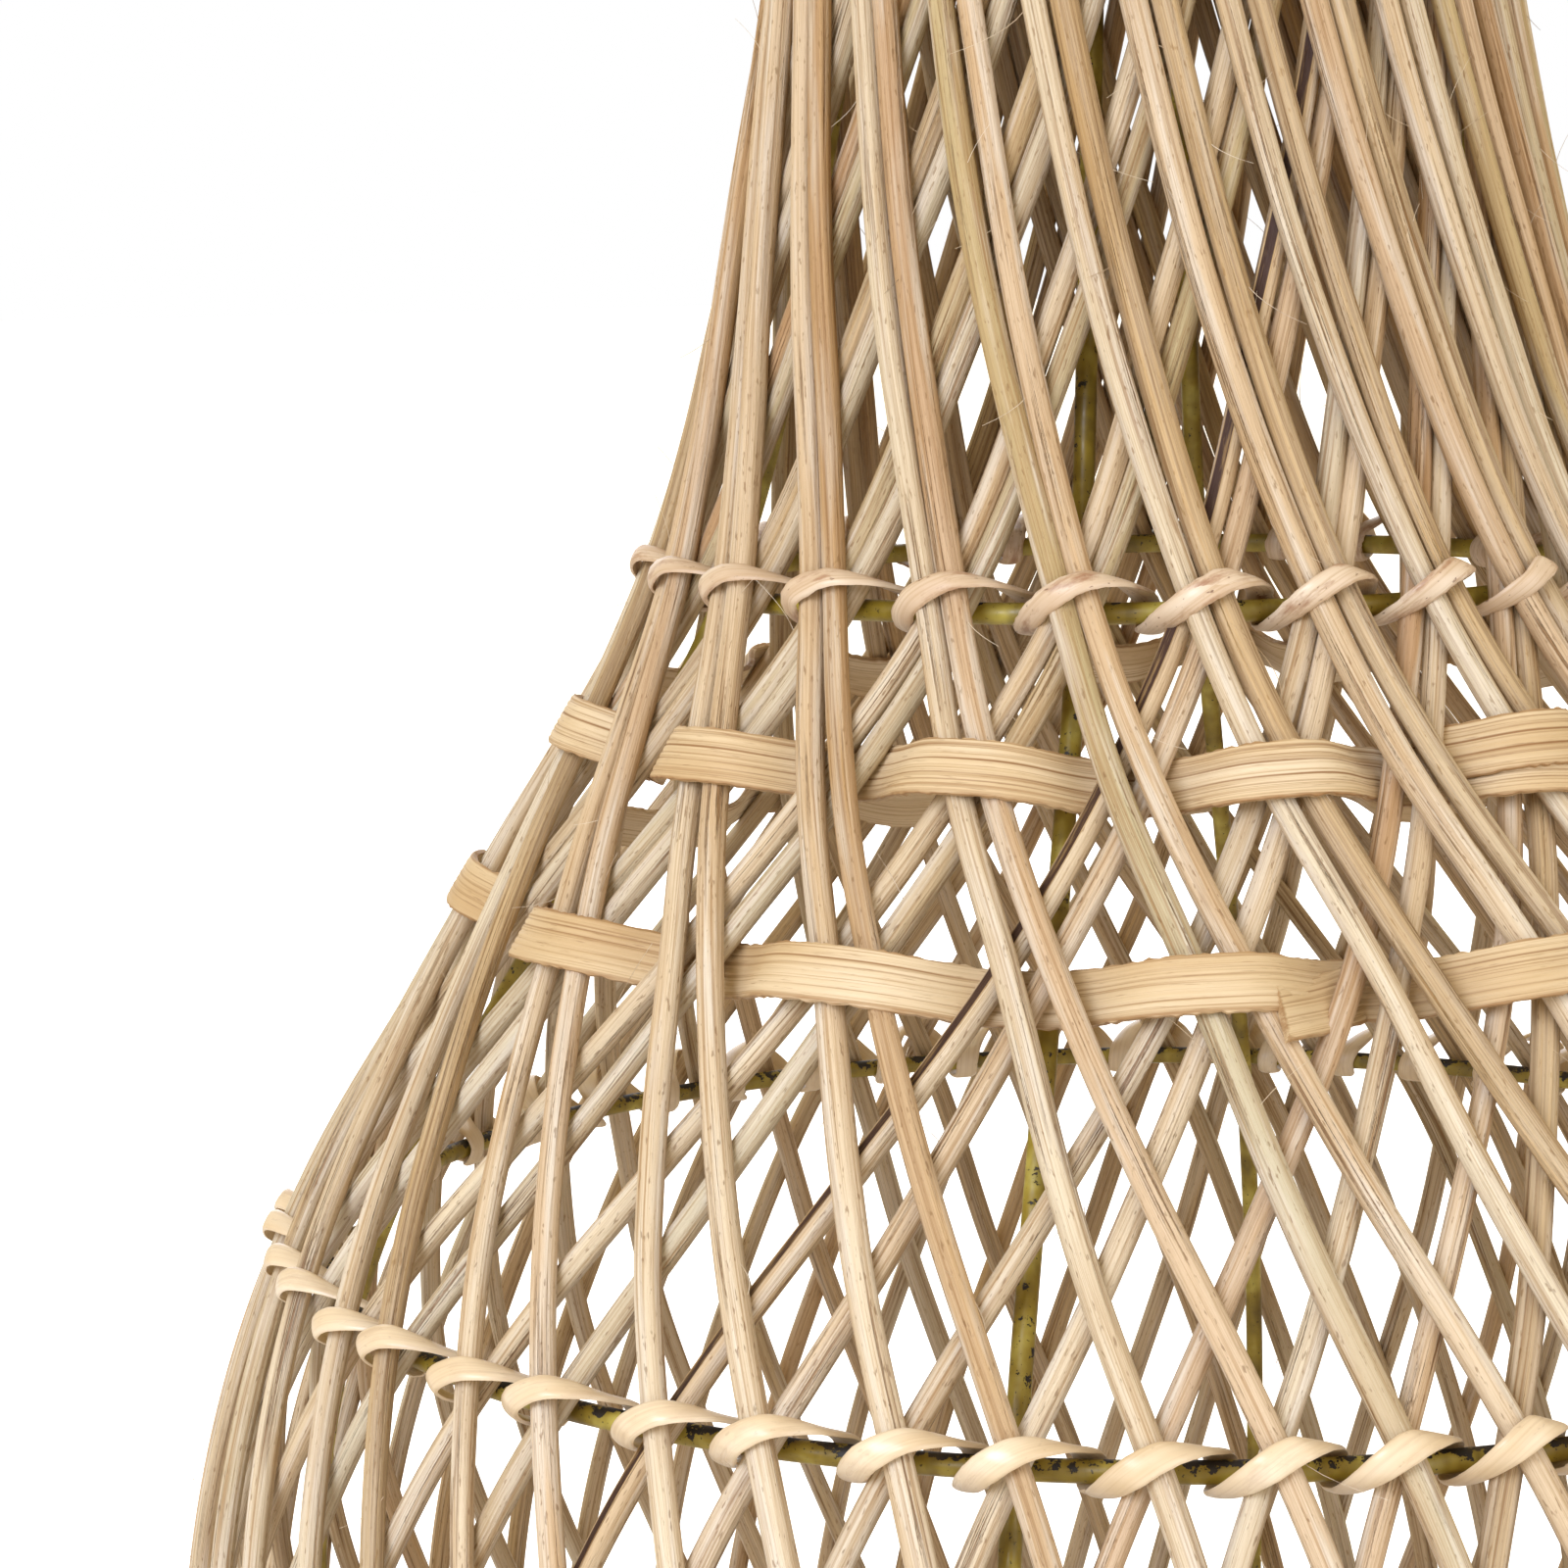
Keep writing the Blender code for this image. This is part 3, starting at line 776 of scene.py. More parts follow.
def flat_section(chance):
    """A weaver's outline: ridged on its outer face, plain on the inner one, with ragged edges."""
    across = np.linspace(-1, 1, 4 * WEAVER_RIDGES + 1)
    groove = 1 - np.abs(np.sin(math.pi * WEAVER_RIDGES * (across + 1) / 2))
    crown = WEAVER_THICKNESS / 2 * (1 - CROWN_FALL * np.abs(across) ** 6)
    face = np.stack([crown - RIDGE_HEIGHT * groove, across * WEAVER_WIDTH / 2], -1)
    back_across = np.linspace(1, -1, BACK_POINTS) * WEAVER_WIDTH / 2 * BACK_WIDTH
    back = np.stack([np.full(BACK_POINTS, -WEAVER_THICKNESS / 2), back_across], -1)
    outline = np.concatenate([face, back])
    section = np.broadcast_to(outline, (WEAVER_STATIONS, *outline.shape)).copy()
    strength = np.array([chance.uniform(*RIDGE_STRENGTHS) for _ in range(WEAVER_RIDGES + 1)])
    nearest = np.rint(WEAVER_RIDGES * (across + 1) / 2).astype(int)
    grooves = np.concatenate([groove * strength[nearest], np.zeros(len(back))])
    ragged = [[chance.gauss(0, WEAVER_FRAY) for _ in range(2)] for _ in range(WEAVER_STATIONS)]
    ragged = np.array(ragged)
    low = section[..., 1] < -FRAYED_OUTSIDE * WEAVER_WIDTH
    high = section[..., 1] > FRAYED_OUTSIDE * WEAVER_WIDTH
    section[..., 1] += np.where(low, ragged[:, :1], 0) + np.where(high, ragged[:, 1:], 0)
    return section, grooves


def weaver_piece(node, parity, step, start, lap, start_drop, start_fade, end_drop):
    """A flat weaver round the shade: over every second crossing, and behind both layers at the others.

    Its two ends lap by this many degrees, the start outside the end, and each may lie low or high.
    """
    chance = random.Random(node)
    height = wall_height_of(node, STRAP_DEPTH)
    pairs = np.arange(-PAIRS, 2 * PAIRS)
    crossings = crossings_at(height, step, pairs)
    azimuth = np.linspace(start, start + 360.0 + lap, WEAVER_STATIONS)
    place = np.interp(azimuth, crossings, pairs)
    wave = np.cos(math.pi * (place - parity))
    share = np.sin(0.5 * math.pi * wave * WEAVER_TAUTNESS) / math.sin(0.5 * math.pi * WEAVER_TAUTNESS)
    middle = (WEAVER_OUT + WEAVER_IN) / 2
    depth = middle + (WEAVER_OUT - middle) * share
    once_round = start + 360.0
    first = np.clip((start + lap + LAP_EASE - azimuth) / LAP_EASE, 0, 1)
    last = np.clip((azimuth - once_round + LAP_EASE) / LAP_EASE, 0, 1)
    depth += WEAVER_THICKNESS * (last * (1 - share) - first * (1 + share)) / 2
    start_share = np.clip((start + start_fade - azimuth) / start_fade, 0, 1)
    end_share = np.clip((azimuth - once_round + DROP_LEAD) / (lap + DROP_LEAD), 0, 1)
    heights = height - WEAVER_LEVEL * share - start_drop * start_share - end_drop * end_share
    heights = heights + wander(chance, azimuth, *WEAVER_WAVE)
    path, normal, _ = wall(azimuth, heights, depth)
    strands = Strands()
    section, grooves = flat_section(chance)
    edge = (np.abs(section[..., 1]) > ROUGH_OUTSIDE * WEAVER_WIDTH).astype(float)
    # The cut ends are painted brown too, as painted shade where they tuck behind the reeds.
    edge[[0, -1]] = 1.0
    cut = WEAVER_CUT * np.clip(1 - np.arange(WEAVER_STATIONS) / WEAVER_CUT_ROWS, 0, 1)
    strands.sweep(path, normal, section, grain_offset(chance), grooves, edge, skew=cut)
    strands.piece(node + "_strip", FLAT_REED, "shade", "rattan", [node])


def build_weavers():
    weaver_piece(
        "upper_weaver", 0, step=1, start=33.0, lap=24.0, start_drop=-0.0026, start_fade=30.0, end_drop=0.0034
    )
    weaver_piece(
        "lower_weaver", 1, step=2, start=16.9, lap=9.0, start_drop=0.0036, start_fade=7.0, end_drop=-0.0004
    )


# ---- lashings

# One turn of a lashing round the wire and the reeds that cross it:
# (share of the spacing, outward from the wire's middle, up from it, which way the cane faces in degrees).
LASHING_TURN = (
    (-0.430, -0.0006, -0.0024, -85.0),
    (-0.395, 0.0026, -0.0028, -60.0),
    (-0.310, 0.0062, -0.0024, -38.0),
    (-0.170, 0.0092, -0.0011, -14.0),
    (0.000, 0.0098, 0.0006, 6.0),
    (0.150, 0.0090, 0.0017, 26.0),
    (0.320, 0.0062, 0.0023, 50.0),
    (0.450, 0.0027, 0.0024, 74.0),
    (0.530, -0.0003, 0.0024, 96.0),
    (0.570, -0.0022, 0.0010, 170.0),
    (0.570, -0.0022, -0.0012, 200.0),
)
LASHING_STEPS = 4
LASHING_CANE = 0.0010
# How much one turn differs from the next, along the wire as a share of the spacing, and up it.
TURN_SHIFT = 0.025
TURN_LIFT = 0.00025
TURN_LOOSENESS = 0.0003
# This far out from the wire, a turn is wholly in front of the reeds.
FRONT_REACH = 0.009
# How many pairs the inner layer has moved along where it crosses the outer one at each ring.
NECK_STEP = 0
BELLY_STEP = 4
# A slow wave in the cane's width, as (share, spans in stations).
CANE_WAVE = (0.16, (23.0, 61.0))
# A cane's outline: how far its bark side rises and its flat side sinks, as shares of its thickness.
CANE_RISE = 0.8
CANE_SINK = 0.3
CANE_ROUNDNESS = 0.7
CANE_BACK = 0.42
CANE_FLAT = 0.7
CANE_EDGE = 0.4
FACE_POINTS = 11
FLAT_POINTS = 4


def cane_section(rows, width, thickness, chance, fray):
    """A cane's outline at each row: rounded on its bark side, flat on the other."""
    angles = np.linspace(0, math.pi, FACE_POINTS)
    rise = thickness * (CANE_RISE * np.sin(angles) ** CANE_ROUNDNESS - CANE_SINK)
    face = np.stack([rise, -np.cos(angles) * width[0] / 2], -1)
    flat = np.linspace(CANE_FLAT, -CANE_FLAT, FLAT_POINTS) * width[0] / 2
    back = np.stack([np.full(FLAT_POINTS, -CANE_BACK * thickness), flat], -1)
    section = np.broadcast_to(np.concatenate([face, back]), (rows, FACE_POINTS + FLAT_POINTS, 2)).copy()
    section[..., 1] *= (width / width[0])[:, None]
    ragged = np.array([[chance.gauss(0, fray)] for _ in range(rows)])
    across = section[..., 1]
    section[..., 1] += ragged * np.sign(across) * (np.abs(across) > CANE_EDGE * width[0])
    return section


def catmull(points, steps):
    """A smooth run through rows of numbers, with this many steps between rows."""
    points = np.asarray(points, float)
    before, here, after, beyond = (np.roll(points, shift, 0) for shift in (1, 0, -1, -2))
    parts = []
    for t in np.arange(steps) / steps:
        square = (2 * before - 5 * here + 4 * after - beyond) * t**2
        cube = (3 * here - before - 3 * after + beyond) * t**3
        parts.append(0.5 * (2 * here + (after - before) * t + square + cube))
    run = np.stack(parts, 1).reshape(-1, points.shape[1])
    return run[steps : -2 * steps]


def lashing_piece(node, ring, crossings, material, width, fray):
    """Cane wound along a frame ring, once over each crossing of the reeds."""
    chance = random.Random(node)
    height = wall_height_of(ring, RING_DEPTH)
    spacing = np.gradient(crossings)
    rows = []
    for number, (azimuth, span) in enumerate(zip(crossings, spacing)):
        shift = chance.gauss(0, TURN_SHIFT)
        lift = chance.gauss(0, TURN_LIFT)
        for share, out, up, facing in LASHING_TURN:
            front = min(max(out / FRONT_REACH, 0.0), 1.0)
            place = azimuth + (share + shift * front) * span
            loose = TURN_LOOSENESS * front * chance.random()
            rows.append((place, out + loose, up + lift * front, facing + 360.0 * number))
    run = catmull(rows, LASHING_STEPS)
    points, normal, up = wall(run[:, 0], height, RING_DEPTH)
    path = points + normal * run[:, 1:2] + up * run[:, 2:3]
    facing = np.radians(run[:, 3:4])
    face = normal * np.cos(facing) + up * np.sin(facing)
    widths = width * (1 + wander(chance, np.arange(len(run)) * 1.0, *CANE_WAVE))
    strands = Strands()
    section = cane_section(len(run), widths, LASHING_CANE, chance, fray)
    strands.sweep(path, face, section, grain_offset(chance), MIDDLE_TONE)
    strands.piece(node + "_cane", material, "shade", "cane", [node])


def build_lashings():
    neck = wall_height_of("neck_ring", RING_DEPTH)
    neck_places = crossings_at(neck, NECK_STEP, np.arange(PAIRS + 1))
    lashing_piece("neck_binding", "neck_ring", neck_places, NECK_CANE, width=0.0034, fray=0.00006)
    belly = wall_height_of("belly_ring", RING_DEPTH)
    belly_places = crossings_at(belly, BELLY_STEP, np.arange(PAIRS), (-1, 1))
    belly_places = np.append(belly_places, belly_places[:2] + 360.0)
    lashing_piece("belly_binding", "belly_ring", belly_places, BELLY_CANE, width=0.0038, fray=0.00002)


# ---- rims

# One turn of cane round a rim, as (depth, away from the rim's end).
RIM_TURN = (
    (-0.0010, 0.0050),
    (-0.0012, 0.0020),
    (-0.0010, -0.0008),
    (0.0020, -0.0016),
    (0.0060, -0.0016),
    (0.0100, -0.0014),
    (0.0112, 0.0008),
    (0.0108, 0.0030),
    (0.0090, 0.0046),
    (0.0060, 0.0058),
    (0.0020, 0.0060),
)
RIM_STEPS = 3
RIM_CANE = 0.0034
RIM_CANE_THICKNESS = 0.0009
RIM_CANE_FRAY = 0.00003
RIM_OVERLAP = 0.93
RIM_WOBBLE = 0.00012
RIM_SPARE_TURNS = 3
# The middle of what the cane is wound round.
RIM_CORE = (0.0050, 0.0022)


def rim_piece(node, rim_z, direction):
    """Cane wound round a rim, over the ring and the trimmed ends of both layers."""
    chance = random.Random(node)
    radius = float(OUTLINE(rim_z))
    turns = int(2 * math.pi * radius / (RIM_CANE * RIM_OVERLAP))
    rows = []
    for turn in range(turns + RIM_SPARE_TURNS):
        wobble = chance.gauss(0, RIM_WOBBLE)
        for number, (depth, along) in enumerate(RIM_TURN):
            azimuth = 360.0 * (turn + number / len(RIM_TURN)) / turns
            rows.append((azimuth, depth + wobble, along + wobble))
    run = catmull(rows, RIM_STEPS)
    points, normal, up = wall(run[:, 0], np.full(len(run), rim_z), 0.0)
    path = points - normal * run[:, 1:2] - up * direction * run[:, 2:3]
    middle = points - normal * RIM_CORE[0] - up * direction * RIM_CORE[1]
    strands = Strands()
    widths = np.full(len(run), RIM_CANE)
    section = cane_section(len(run), widths, RIM_CANE_THICKNESS, chance, RIM_CANE_FRAY)
    strands.sweep(path, path - middle, section, grain_offset(chance), MIDDLE_TONE)
    strands.piece(node + "_cane", BELLY_CANE, "shade", "cane", [node])


def build_rims():
    rim_piece("top_binding", TOP_Z, 1)
    rim_piece("bottom_binding", BOTTOM_Z, -1)


# ---- stray fibres

HAIRS = 700
HAIR_RADIUS = 0.00007
HAIR_STATIONS = 9
HAIR_SIDES = 4
HAIR_TAPER = 0.6
HAIR_LENGTHS = (0.003, 0.011)
HAIR_LIFTS = (0.15, 0.75)
HAIR_LEAN = 0.5
HAIR_BEND = 1.2
HAIR_TONE = 0.4
# How far to the side of its reed's middle a fibre starts, in degrees.
HAIR_OFFSETS = (0.4, 1.0)
# They keep this far from the rims, and are thicker towards the neck.
HAIR_TOP_GAP = 0.01
HAIR_BOTTOM_GAP = 0.02
HAIR_CROWDING = 1.6


def build_hairs():
    """Fine fibres that have lifted off the reeds."""
    chance = random.Random(SEED + 1)
    strands = Strands()
    room = TOP_Z - BOTTOM_Z - HAIR_TOP_GAP - HAIR_BOTTOM_GAP
    for _ in range(HAIRS):
        height = TOP_Z - HAIR_TOP_GAP - room * chance.random() ** HAIR_CROWDING
        layer = chance.choice(("outer", "outer", "inner"))
        pair = chance.randrange(PAIRS)
        side = chance.choice((-1, 1))
        azimuth = float(pair_azimuth(pair, height, layer) + side * OPENING(height))
        azimuth += side * chance.uniform(*HAIR_OFFSETS)
        point, normal, up = wall(azimuth, height, layer_depth(layer))
        side_way = np.cross(up, normal)
        length = chance.uniform(*HAIR_LENGTHS)
        lift = chance.uniform(*HAIR_LIFTS)
        start = up * chance.choice((-1, 1)) + side_way * chance.uniform(-HAIR_LEAN, HAIR_LEAN)
        bend = normal * lift + side_way * chance.uniform(-HAIR_BEND, HAIR_BEND)
        share = np.linspace(0, 1, HAIR_STATIONS)[:, None]
        path = point + (start * share + bend * share**2) * length
        section = round_section(HAIR_STATIONS, HAIR_SIDES, HAIR_RADIUS * (1 - HAIR_TAPER * share[:, 0]))
        facing = np.broadcast_to(normal, path.shape)
        strands.sweep(path, facing, section, grain_offset(chance), HAIR_TONE)
    strands.piece("stray_fibres", REED, "shade", "rattan")


# ---- lamp holder and fitter

TURNED_SIDES = 144
# A rounded corner takes up at most this share of a side.
LONGEST_EASE = 0.45
HOLDER_AXIS = 0.010
GRIP_REACH = 0.0020
THREAD_REACH = 0.0006
CAP_DOME = 0.0170
CAP_WALL = 0.0025
CAP_HOLE = 0.0053
CAP_RIBS = 36
CAP_RIB_DEPTH = 0.0005
CAP_HEM = 0.0015
DOME_POINTS = 24
GLAND_RADIUS = 0.0050
GLAND_BORE = 0.0037
GLAND_PITCH = 0.0012
GLAND_THREAD = 0.0003
GLAND_RUN_OUT = 0.0003
# The gland's thread is carried on past its top, so that it is still deep there.
GLAND_OVERRUN = 0.0008
FLANGE_TOP = 0.0027
FLANGE_FOOT = 0.0003
SKIRT_RADIUS = 0.0200
SKIRT_BORE = 0.0178
SKIRT_PITCH = 0.0030
SKIRT_THREAD = 0.0007
SKIRT_RUN_OUT = 0.001
SHOULDER_HEIGHT = 0.0040
COLLAR_RADIUS = 0.0196
COLLAR_HEIGHT = 0.0080
NUT_FLANGE = 0.0020
NUT_STEP = 0.0014
NUT_BEVEL = 0.0016
BEVEL_START = 0.35
THREAD_GAP = 0.0003
NUT_RIBS = 30
NUT_RIB_DEPTH = 0.0009
NUT_HEM = 0.0002
NUT_HEAD_GAP = 0.0001
CORE_BORE = 0.0149
CORE_BASE = 0.0080
CORE_EYE = 0.0026
SHELL_WALL = 0.0005
SHELL_WAVE = 0.0002
LAMP_PITCH = 0.0036
FITTER_HOLE = 0.0210


def dress(nodes, material):
    for node in nodes:
        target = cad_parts[node]
        target.data.materials.clear()
        target.data.materials.append(material)


def size_of(node):
    """(radius, bottom, top) of a node that is round about the shade's axis."""
    low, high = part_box(node)
    return (high.x - low.x) / 2, low.z, high.z


def eased(outline, radius, steps=4):
    """A closed (radius, height) outline with each corner rounded."""
    outline = np.asarray(outline, float)
    points = []
    for corner, before, after in zip(outline, np.roll(outline, 1, 0), np.roll(outline, -1, 0)):
        arms = []
        for other in (before, after):
            arm = other - corner
            length = np.linalg.norm(arm)
            arms.append(corner + arm * min(radius / length, LONGEST_EASE))
        for t in np.linspace(0, 1, steps + 1):
            points.append((1 - t) ** 2 * arms[0] + 2 * t * (1 - t) * corner + t**2 * arms[1])
    return np.array(points)


def divided(outline, longest):
    """The same closed outline with its long sides cut into short steps."""
    points = []
    for here, after in zip(outline, np.roll(outline, -1, 0)):
        steps = max(1, int(np.linalg.norm(after - here) / longest))
        points += [here + (after - here) * step / steps for step in range(steps)]
    return np.array(points)


def tube(top, steps, bore):
    """A closed outline: down the outside by (radius, height of the step's foot), and up the bore."""
    outline = []
    start = top
    for radius, foot in steps:
        outline += [(radius, start), (radius, foot)]
        start = foot
    return outline + [(bore, start), (bore, top)]


def turned_piece(node, outline, material, body, slot, shape=None, sides=TURNED_SIDES):
    """A closed (radius, height) outline spun about Z. shape(angles, heights, radii) may work its face."""
    angles = 2 * math.pi * np.arange(sides)[:, None] / sides
    radii = np.broadcast_to(outline[:, 0], (sides, len(outline)))
    if shape:
        radii = shape(angles, outline[:, 1], radii)
    area = np.sum(outline[:, 0] * np.roll(outline[:, 1], -1) - np.roll(outline[:, 0], -1) * outline[:, 1])
    section = np.stack([radii - HOLDER_AXIS, np.broadcast_to(-outline[:, 1], radii.shape)], -1)
    if area > 0:
        section = section[:, ::-1]
    out = np.concatenate([np.sin(angles), -np.cos(angles), 0 * angles], 1)
    strands = Strands()
    strands.sweep(out * HOLDER_AXIS, out, section, np.zeros(3), 0.0, closed=True)
    strands.piece(node + "_body", material, body, slot, [node])


def between(heights, bottom, top, ease):
    """1 between two heights, falling to 0 at each of them."""
    return np.clip((heights - bottom) / ease, 0, 1) * np.clip((top - heights) / ease, 0, 1)


def ribbed(count, depth, bottom, top, ease=0.0012):
    """Upright grip ribs on an outer face between two heights."""

    def shape(angles, heights, radii):
        flute = (0.5 - 0.5 * np.cos(count * angles)) ** 2
        outer = radii > radii.max() - GRIP_REACH
        return radii - depth * flute * between(heights, bottom, top, ease) * outer

    return shape


def threaded(pitch, depth, bottom, top, face):
    """A rounded screw thread on every face near one radius, between two heights."""

    def shape(angles, heights, radii):
        wave = 0.5 - 0.5 * np.cos(2 * math.pi * heights / pitch - angles)
        near = np.abs(radii - face) < THREAD_REACH
        return radii - depth * wave * between(heights, bottom, top, pitch) * near

    return shape


def six_sided(across_corners, bevel, bottom, top):
    """Flats of a hexagon nut, with its corners turned off at both ends."""
    flat = across_corners * math.cos(math.pi / 6)

    def shape(angles, heights, radii):
        turn = (angles + math.pi / 6) % (math.pi / 3) - math.pi / 6
        hexagon = flat / np.cos(turn)
        edge = np.minimum(heights - bottom, top - heights)
        turned = flat + (across_corners - flat) * np.clip(BEVEL_START + edge / bevel, 0, 1)
        outer = radii > flat
        return np.where(outer, np.minimum(hexagon, turned), radii)

    return shape


def build_cap():
    radius, bottom, top = size_of("holder_cap")
    shoulder = top - CAP_DOME
    outline = [(radius, bottom)]
    for inset, step in ((0.0, 1), (CAP_WALL, -1)):
        rise = [
            (
                CAP_HOLE + (radius - inset - CAP_HOLE) * math.cos(angle),
                shoulder + (top - inset - shoulder) * math.sin(angle),
            )
            for angle in np.linspace(0, math.pi / 2, DOME_POINTS)
        ]
        outline += rise[::step]
    outline.append((radius - CAP_WALL, bottom))
    outline = divided(np.array(outline), longest=0.0008)
    grip = ribbed(CAP_RIBS, CAP_RIB_DEPTH, bottom + CAP_HEM, shoulder - CAP_RIB_DEPTH)
    turned_piece("holder_cap", outline, PLASTIC, "cap", "holder_plastic", grip)


def build_gland():
    flange, bottom, top = size_of("cord_gland")
    seat = size_of("holder_cap")[2]
    steps = ((GLAND_RADIUS, seat + FLANGE_TOP), (flange, seat + FLANGE_FOOT), (GLAND_RADIUS, bottom))
    outline = divided(eased(tube(top, steps, GLAND_BORE), radius=0.0004), longest=0.0003)
    foot = seat + FLANGE_TOP + GLAND_RUN_OUT
    thread = threaded(GLAND_PITCH, GLAND_THREAD, foot, top + GLAND_OVERRUN, GLAND_RADIUS)
    turned_piece("cord_gland", outline, PLASTIC, "cap", "holder_plastic", thread)

    radius, bottom, top = size_of("gland_nut")
    bore = GLAND_RADIUS + THREAD_GAP
    outline = np.array([(radius, bottom), (radius, top), (bore, top), (bore, bottom)])
    outline = divided(outline, longest=0.0004)
    nut = six_sided(radius, NUT_BEVEL, bottom, top)
    turned_piece("gland_nut", outline, PLASTIC, "gland_nut", "holder_plastic", nut)


def build_skirt():
    radius, bottom, top = size_of("holder_skirt")
    shoulder_top = top - COLLAR_HEIGHT
    shoulder = shoulder_top - SHOULDER_HEIGHT
    steps = ((COLLAR_RADIUS, shoulder_top), (radius, shoulder), (SKIRT_RADIUS, bottom))
    outline = divided(eased(tube(top, steps, SKIRT_BORE), radius=0.0006), longest=0.0005)
    low, high = bottom + SKIRT_RUN_OUT, shoulder - SKIRT_RUN_OUT
    thread = threaded(SKIRT_PITCH, SKIRT_THREAD, low, high, SKIRT_RADIUS)
    turned_piece("holder_skirt", outline, PLASTIC, "skirt", "holder_plastic", thread)


def build_shade_nut():
    radius, bottom, top = size_of("shade_nut")
    steps = ((radius, top - NUT_FLANGE), (radius - NUT_STEP, bottom))
    outline = eased(tube(top, steps, SKIRT_RADIUS + THREAD_GAP), radius=0.0005)
    outline = divided(outline, longest=0.0005)
    head = top - NUT_FLANGE - NUT_HEAD_GAP
    ribs = ribbed(NUT_RIBS, NUT_RIB_DEPTH, bottom + NUT_HEM, head, ease=0.0005)
    turned_piece("shade_nut", outline, PLASTIC, "shade_nut", "holder_plastic", ribs)


def build_core():
    """The ceramic core, and the rolled brass shell with the lamp's thread inside it."""
    radius, bottom, top = size_of("holder_core")
    outline = [
        (radius, top),
        (radius, bottom),
        (CORE_BORE, bottom),
        (CORE_BORE, top - CORE_BASE),
        (CORE_EYE, top - CORE_BASE),
        (CORE_EYE, top),
    ]
    turned_piece("holder_core", eased(outline, radius=0.0008), CERAMIC, "cap", "ceramic")

    radius, bottom, top = size_of("screw_shell")
    middle = radius - SHELL_WAVE
    bore = middle - SHELL_WALL
    outline = np.array([(middle, bottom), (middle, top), (bore, top), (bore, bottom)])
    outline = divided(outline, longest=0.0004)

    def rolled(angles, heights, radii):
        return radii + SHELL_WAVE * np.cos(2 * math.pi * heights / LAMP_PITCH - angles)

    turned_piece("screw_shell", outline, BRASS, "cap", "brass", rolled)


def build_fitter():
    radius, bottom, top = size_of("fitter_ring")
    outline = eased(tube(top, [(radius, bottom)], FITTER_HOLE), radius=0.0004)
    turned_piece("fitter_ring", outline, PAINT, "shade", "painted_wire")
    for number in range(1, 5):
        node = f"spoke_{number}"
        low, high = (np.array(corner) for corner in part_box(node))
        size = high - low
        along = int(np.argmax(size))
        ends = np.array([low + high, low + high]) / 2
        ends[0, along] = low[along]
        ends[1, along] = high[along]
        path = np.linspace(ends[0], ends[1], SPOKE_STATIONS)
        wire_piece(node, path, np.broadcast_to([0.0, 0.0, 1.0], path.shape), WIRE_RADIUS, RIB_WEAR)


def build_holder():
    build_cap()
    build_gland()
    build_skirt()
    build_shade_nut()
    build_core()
    build_fitter()
    dress(("centre_contact", "terminal_1", "terminal_2"), BRASS)
    dress(("terminal_screw_1", "terminal_screw_2"), STEEL)


# ---- stage

FLOOR = 60.0
FLOOR_GLOW = 0.8
SOFT_LIGHT = 0.79
SOFT_COLOUR = (1.0, 0.85, 0.57, 1.0)
LIGHT_TARGET = Vector((0.0, 0.0, -0.22))
LAMP_COLOUR = (0.86, 0.96, 1.22)
# (name, azimuth, height, distance, size, watts)
LAMPS = (
    ("key", -20.0, 0.50, 1.4, 0.8, 17.0),
    ("fill", 60.0, 0.15, 1.6, 1.2, 7.0),
    ("back", 200.0, 0.35, 1.6, 1.2, 8.0),
)


def seen_directly(tree):
    """1 for what the eye sees straight on and 0 for light on its way round the scene."""
    return tree.nodes.new("ShaderNodeLightPath").outputs["Is Camera Ray"]


def build_floor():
    """A pale floor that runs on to where it meets the white surround."""
    mesh = bpy.data.meshes.new("floor")
    corners = [(-FLOOR, -FLOOR, 0), (FLOOR, -FLOOR, 0), (FLOOR, FLOOR, 0), (-FLOOR, FLOOR, 0)]
    mesh.from_pydata(corners, [], [(0, 1, 2, 3)])
    floor = bpy.data.objects.new("floor", mesh)
    floor.location.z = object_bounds()[0].z
    graph = Graph("pale_floor", {"Roughness": 0.9, "Specular IOR Level": 0.0})
    graph.shader.inputs["Emission Color"].default_value = (1.0, 1.0, 1.0, 1.0)
    glow = graph.maths("MULTIPLY", seen_directly(graph.tree), FLOOR_GLOW)
    graph.feed(graph.shader.inputs["Emission Strength"], glow)
    shade = graph.noise(graph.place(), (3.0,) * 3, 2.0)
    mesh.materials.append(
        graph.finish(graph.ramp(shade, [(0.3, (242, 242, 244)), (0.7, (244, 244, 246))]))
    )
    link(floor)


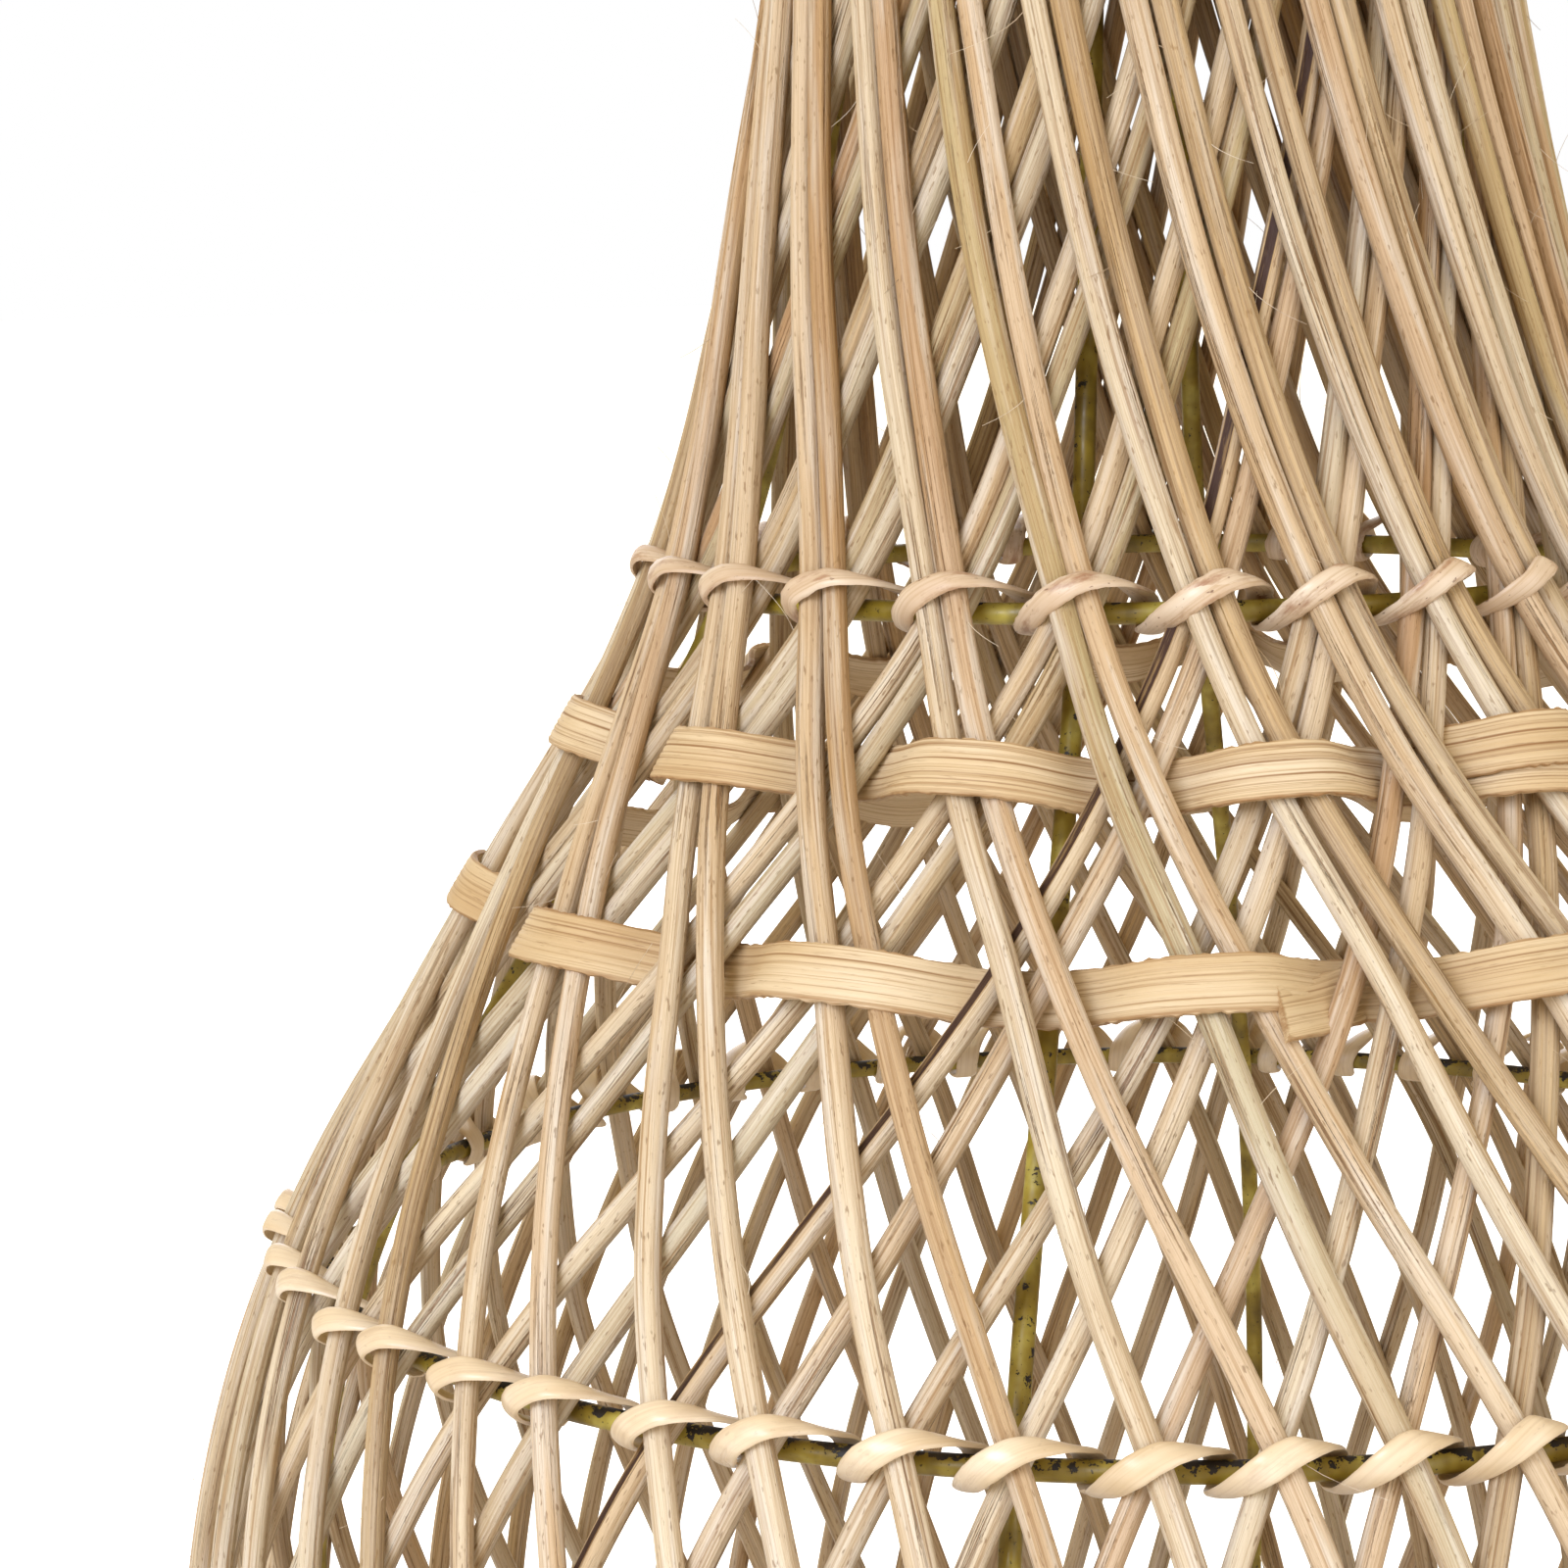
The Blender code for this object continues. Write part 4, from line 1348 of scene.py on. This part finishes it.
def build_lights():
    """A soft surround that looks white and lights a little warmly, a key, a fill and a back lamp."""
    world = bpy.data.worlds.new("soft_studio")
    world.use_nodes = True
    tree = world.node_tree
    soft = tree.nodes["Background"]
    soft.inputs["Color"].default_value = SOFT_COLOUR
    soft.inputs["Strength"].default_value = SOFT_LIGHT
    white = tree.nodes.new("ShaderNodeBackground")
    white.inputs["Color"].default_value = (1.0, 1.0, 1.0, 1.0)
    blend = tree.nodes.new("ShaderNodeMixShader")
    tree.links.new(seen_directly(tree), blend.inputs["Fac"])
    tree.links.new(soft.outputs["Background"], blend.inputs[1])
    tree.links.new(white.outputs["Background"], blend.inputs[2])
    tree.links.new(blend.outputs["Shader"], tree.nodes["World Output"].inputs["Surface"])
    bpy.context.scene.world = world

    for name, azimuth, height, distance, size, power in LAMPS:
        lamp = bpy.data.lights.new(name, "AREA")
        lamp.size = size
        lamp.energy = power
        lamp.color = LAMP_COLOUR
        light = bpy.data.objects.new(name, lamp)
        angle = math.radians(azimuth)
        light.location = (distance * math.sin(angle), -distance * math.cos(angle), height)
        light.rotation_euler = (LIGHT_TARGET - light.location).to_track_quat("-Z", "Y").to_euler()
        link(light)


def build_camera():
    azimuth = math.radians(CAMERA_AZIMUTH)
    place = Vector((math.sin(azimuth), -math.cos(azimuth), 0.0)) * CAMERA_DISTANCE
    place.z = CAMERA_Z
    data = bpy.data.cameras.new("camera")
    data.lens = CAMERA_LENS
    data.sensor_width = CAMERA_SENSOR
    data.clip_start = CAMERA_CLIP
    camera = bpy.data.objects.new("camera", data)
    heading = Matrix.Rotation(azimuth + CAMERA_YAW, 4, "Z")
    pitch = Matrix.Rotation(math.pi / 2 - CAMERA_PITCH, 4, "X")
    roll = Matrix.Rotation(CAMERA_ROLL, 4, "Z")
    camera.matrix_world = Matrix.Translation(place) @ heading @ pitch @ roll
    link(camera)
    bpy.context.scene.camera = camera


bpy.context.scene.view_settings.view_transform = "Standard"
build_splints()
build_frame()
build_weavers()
build_lashings()
build_rims()
build_hairs()
build_holder()
build_floor()
build_lights()
build_camera()
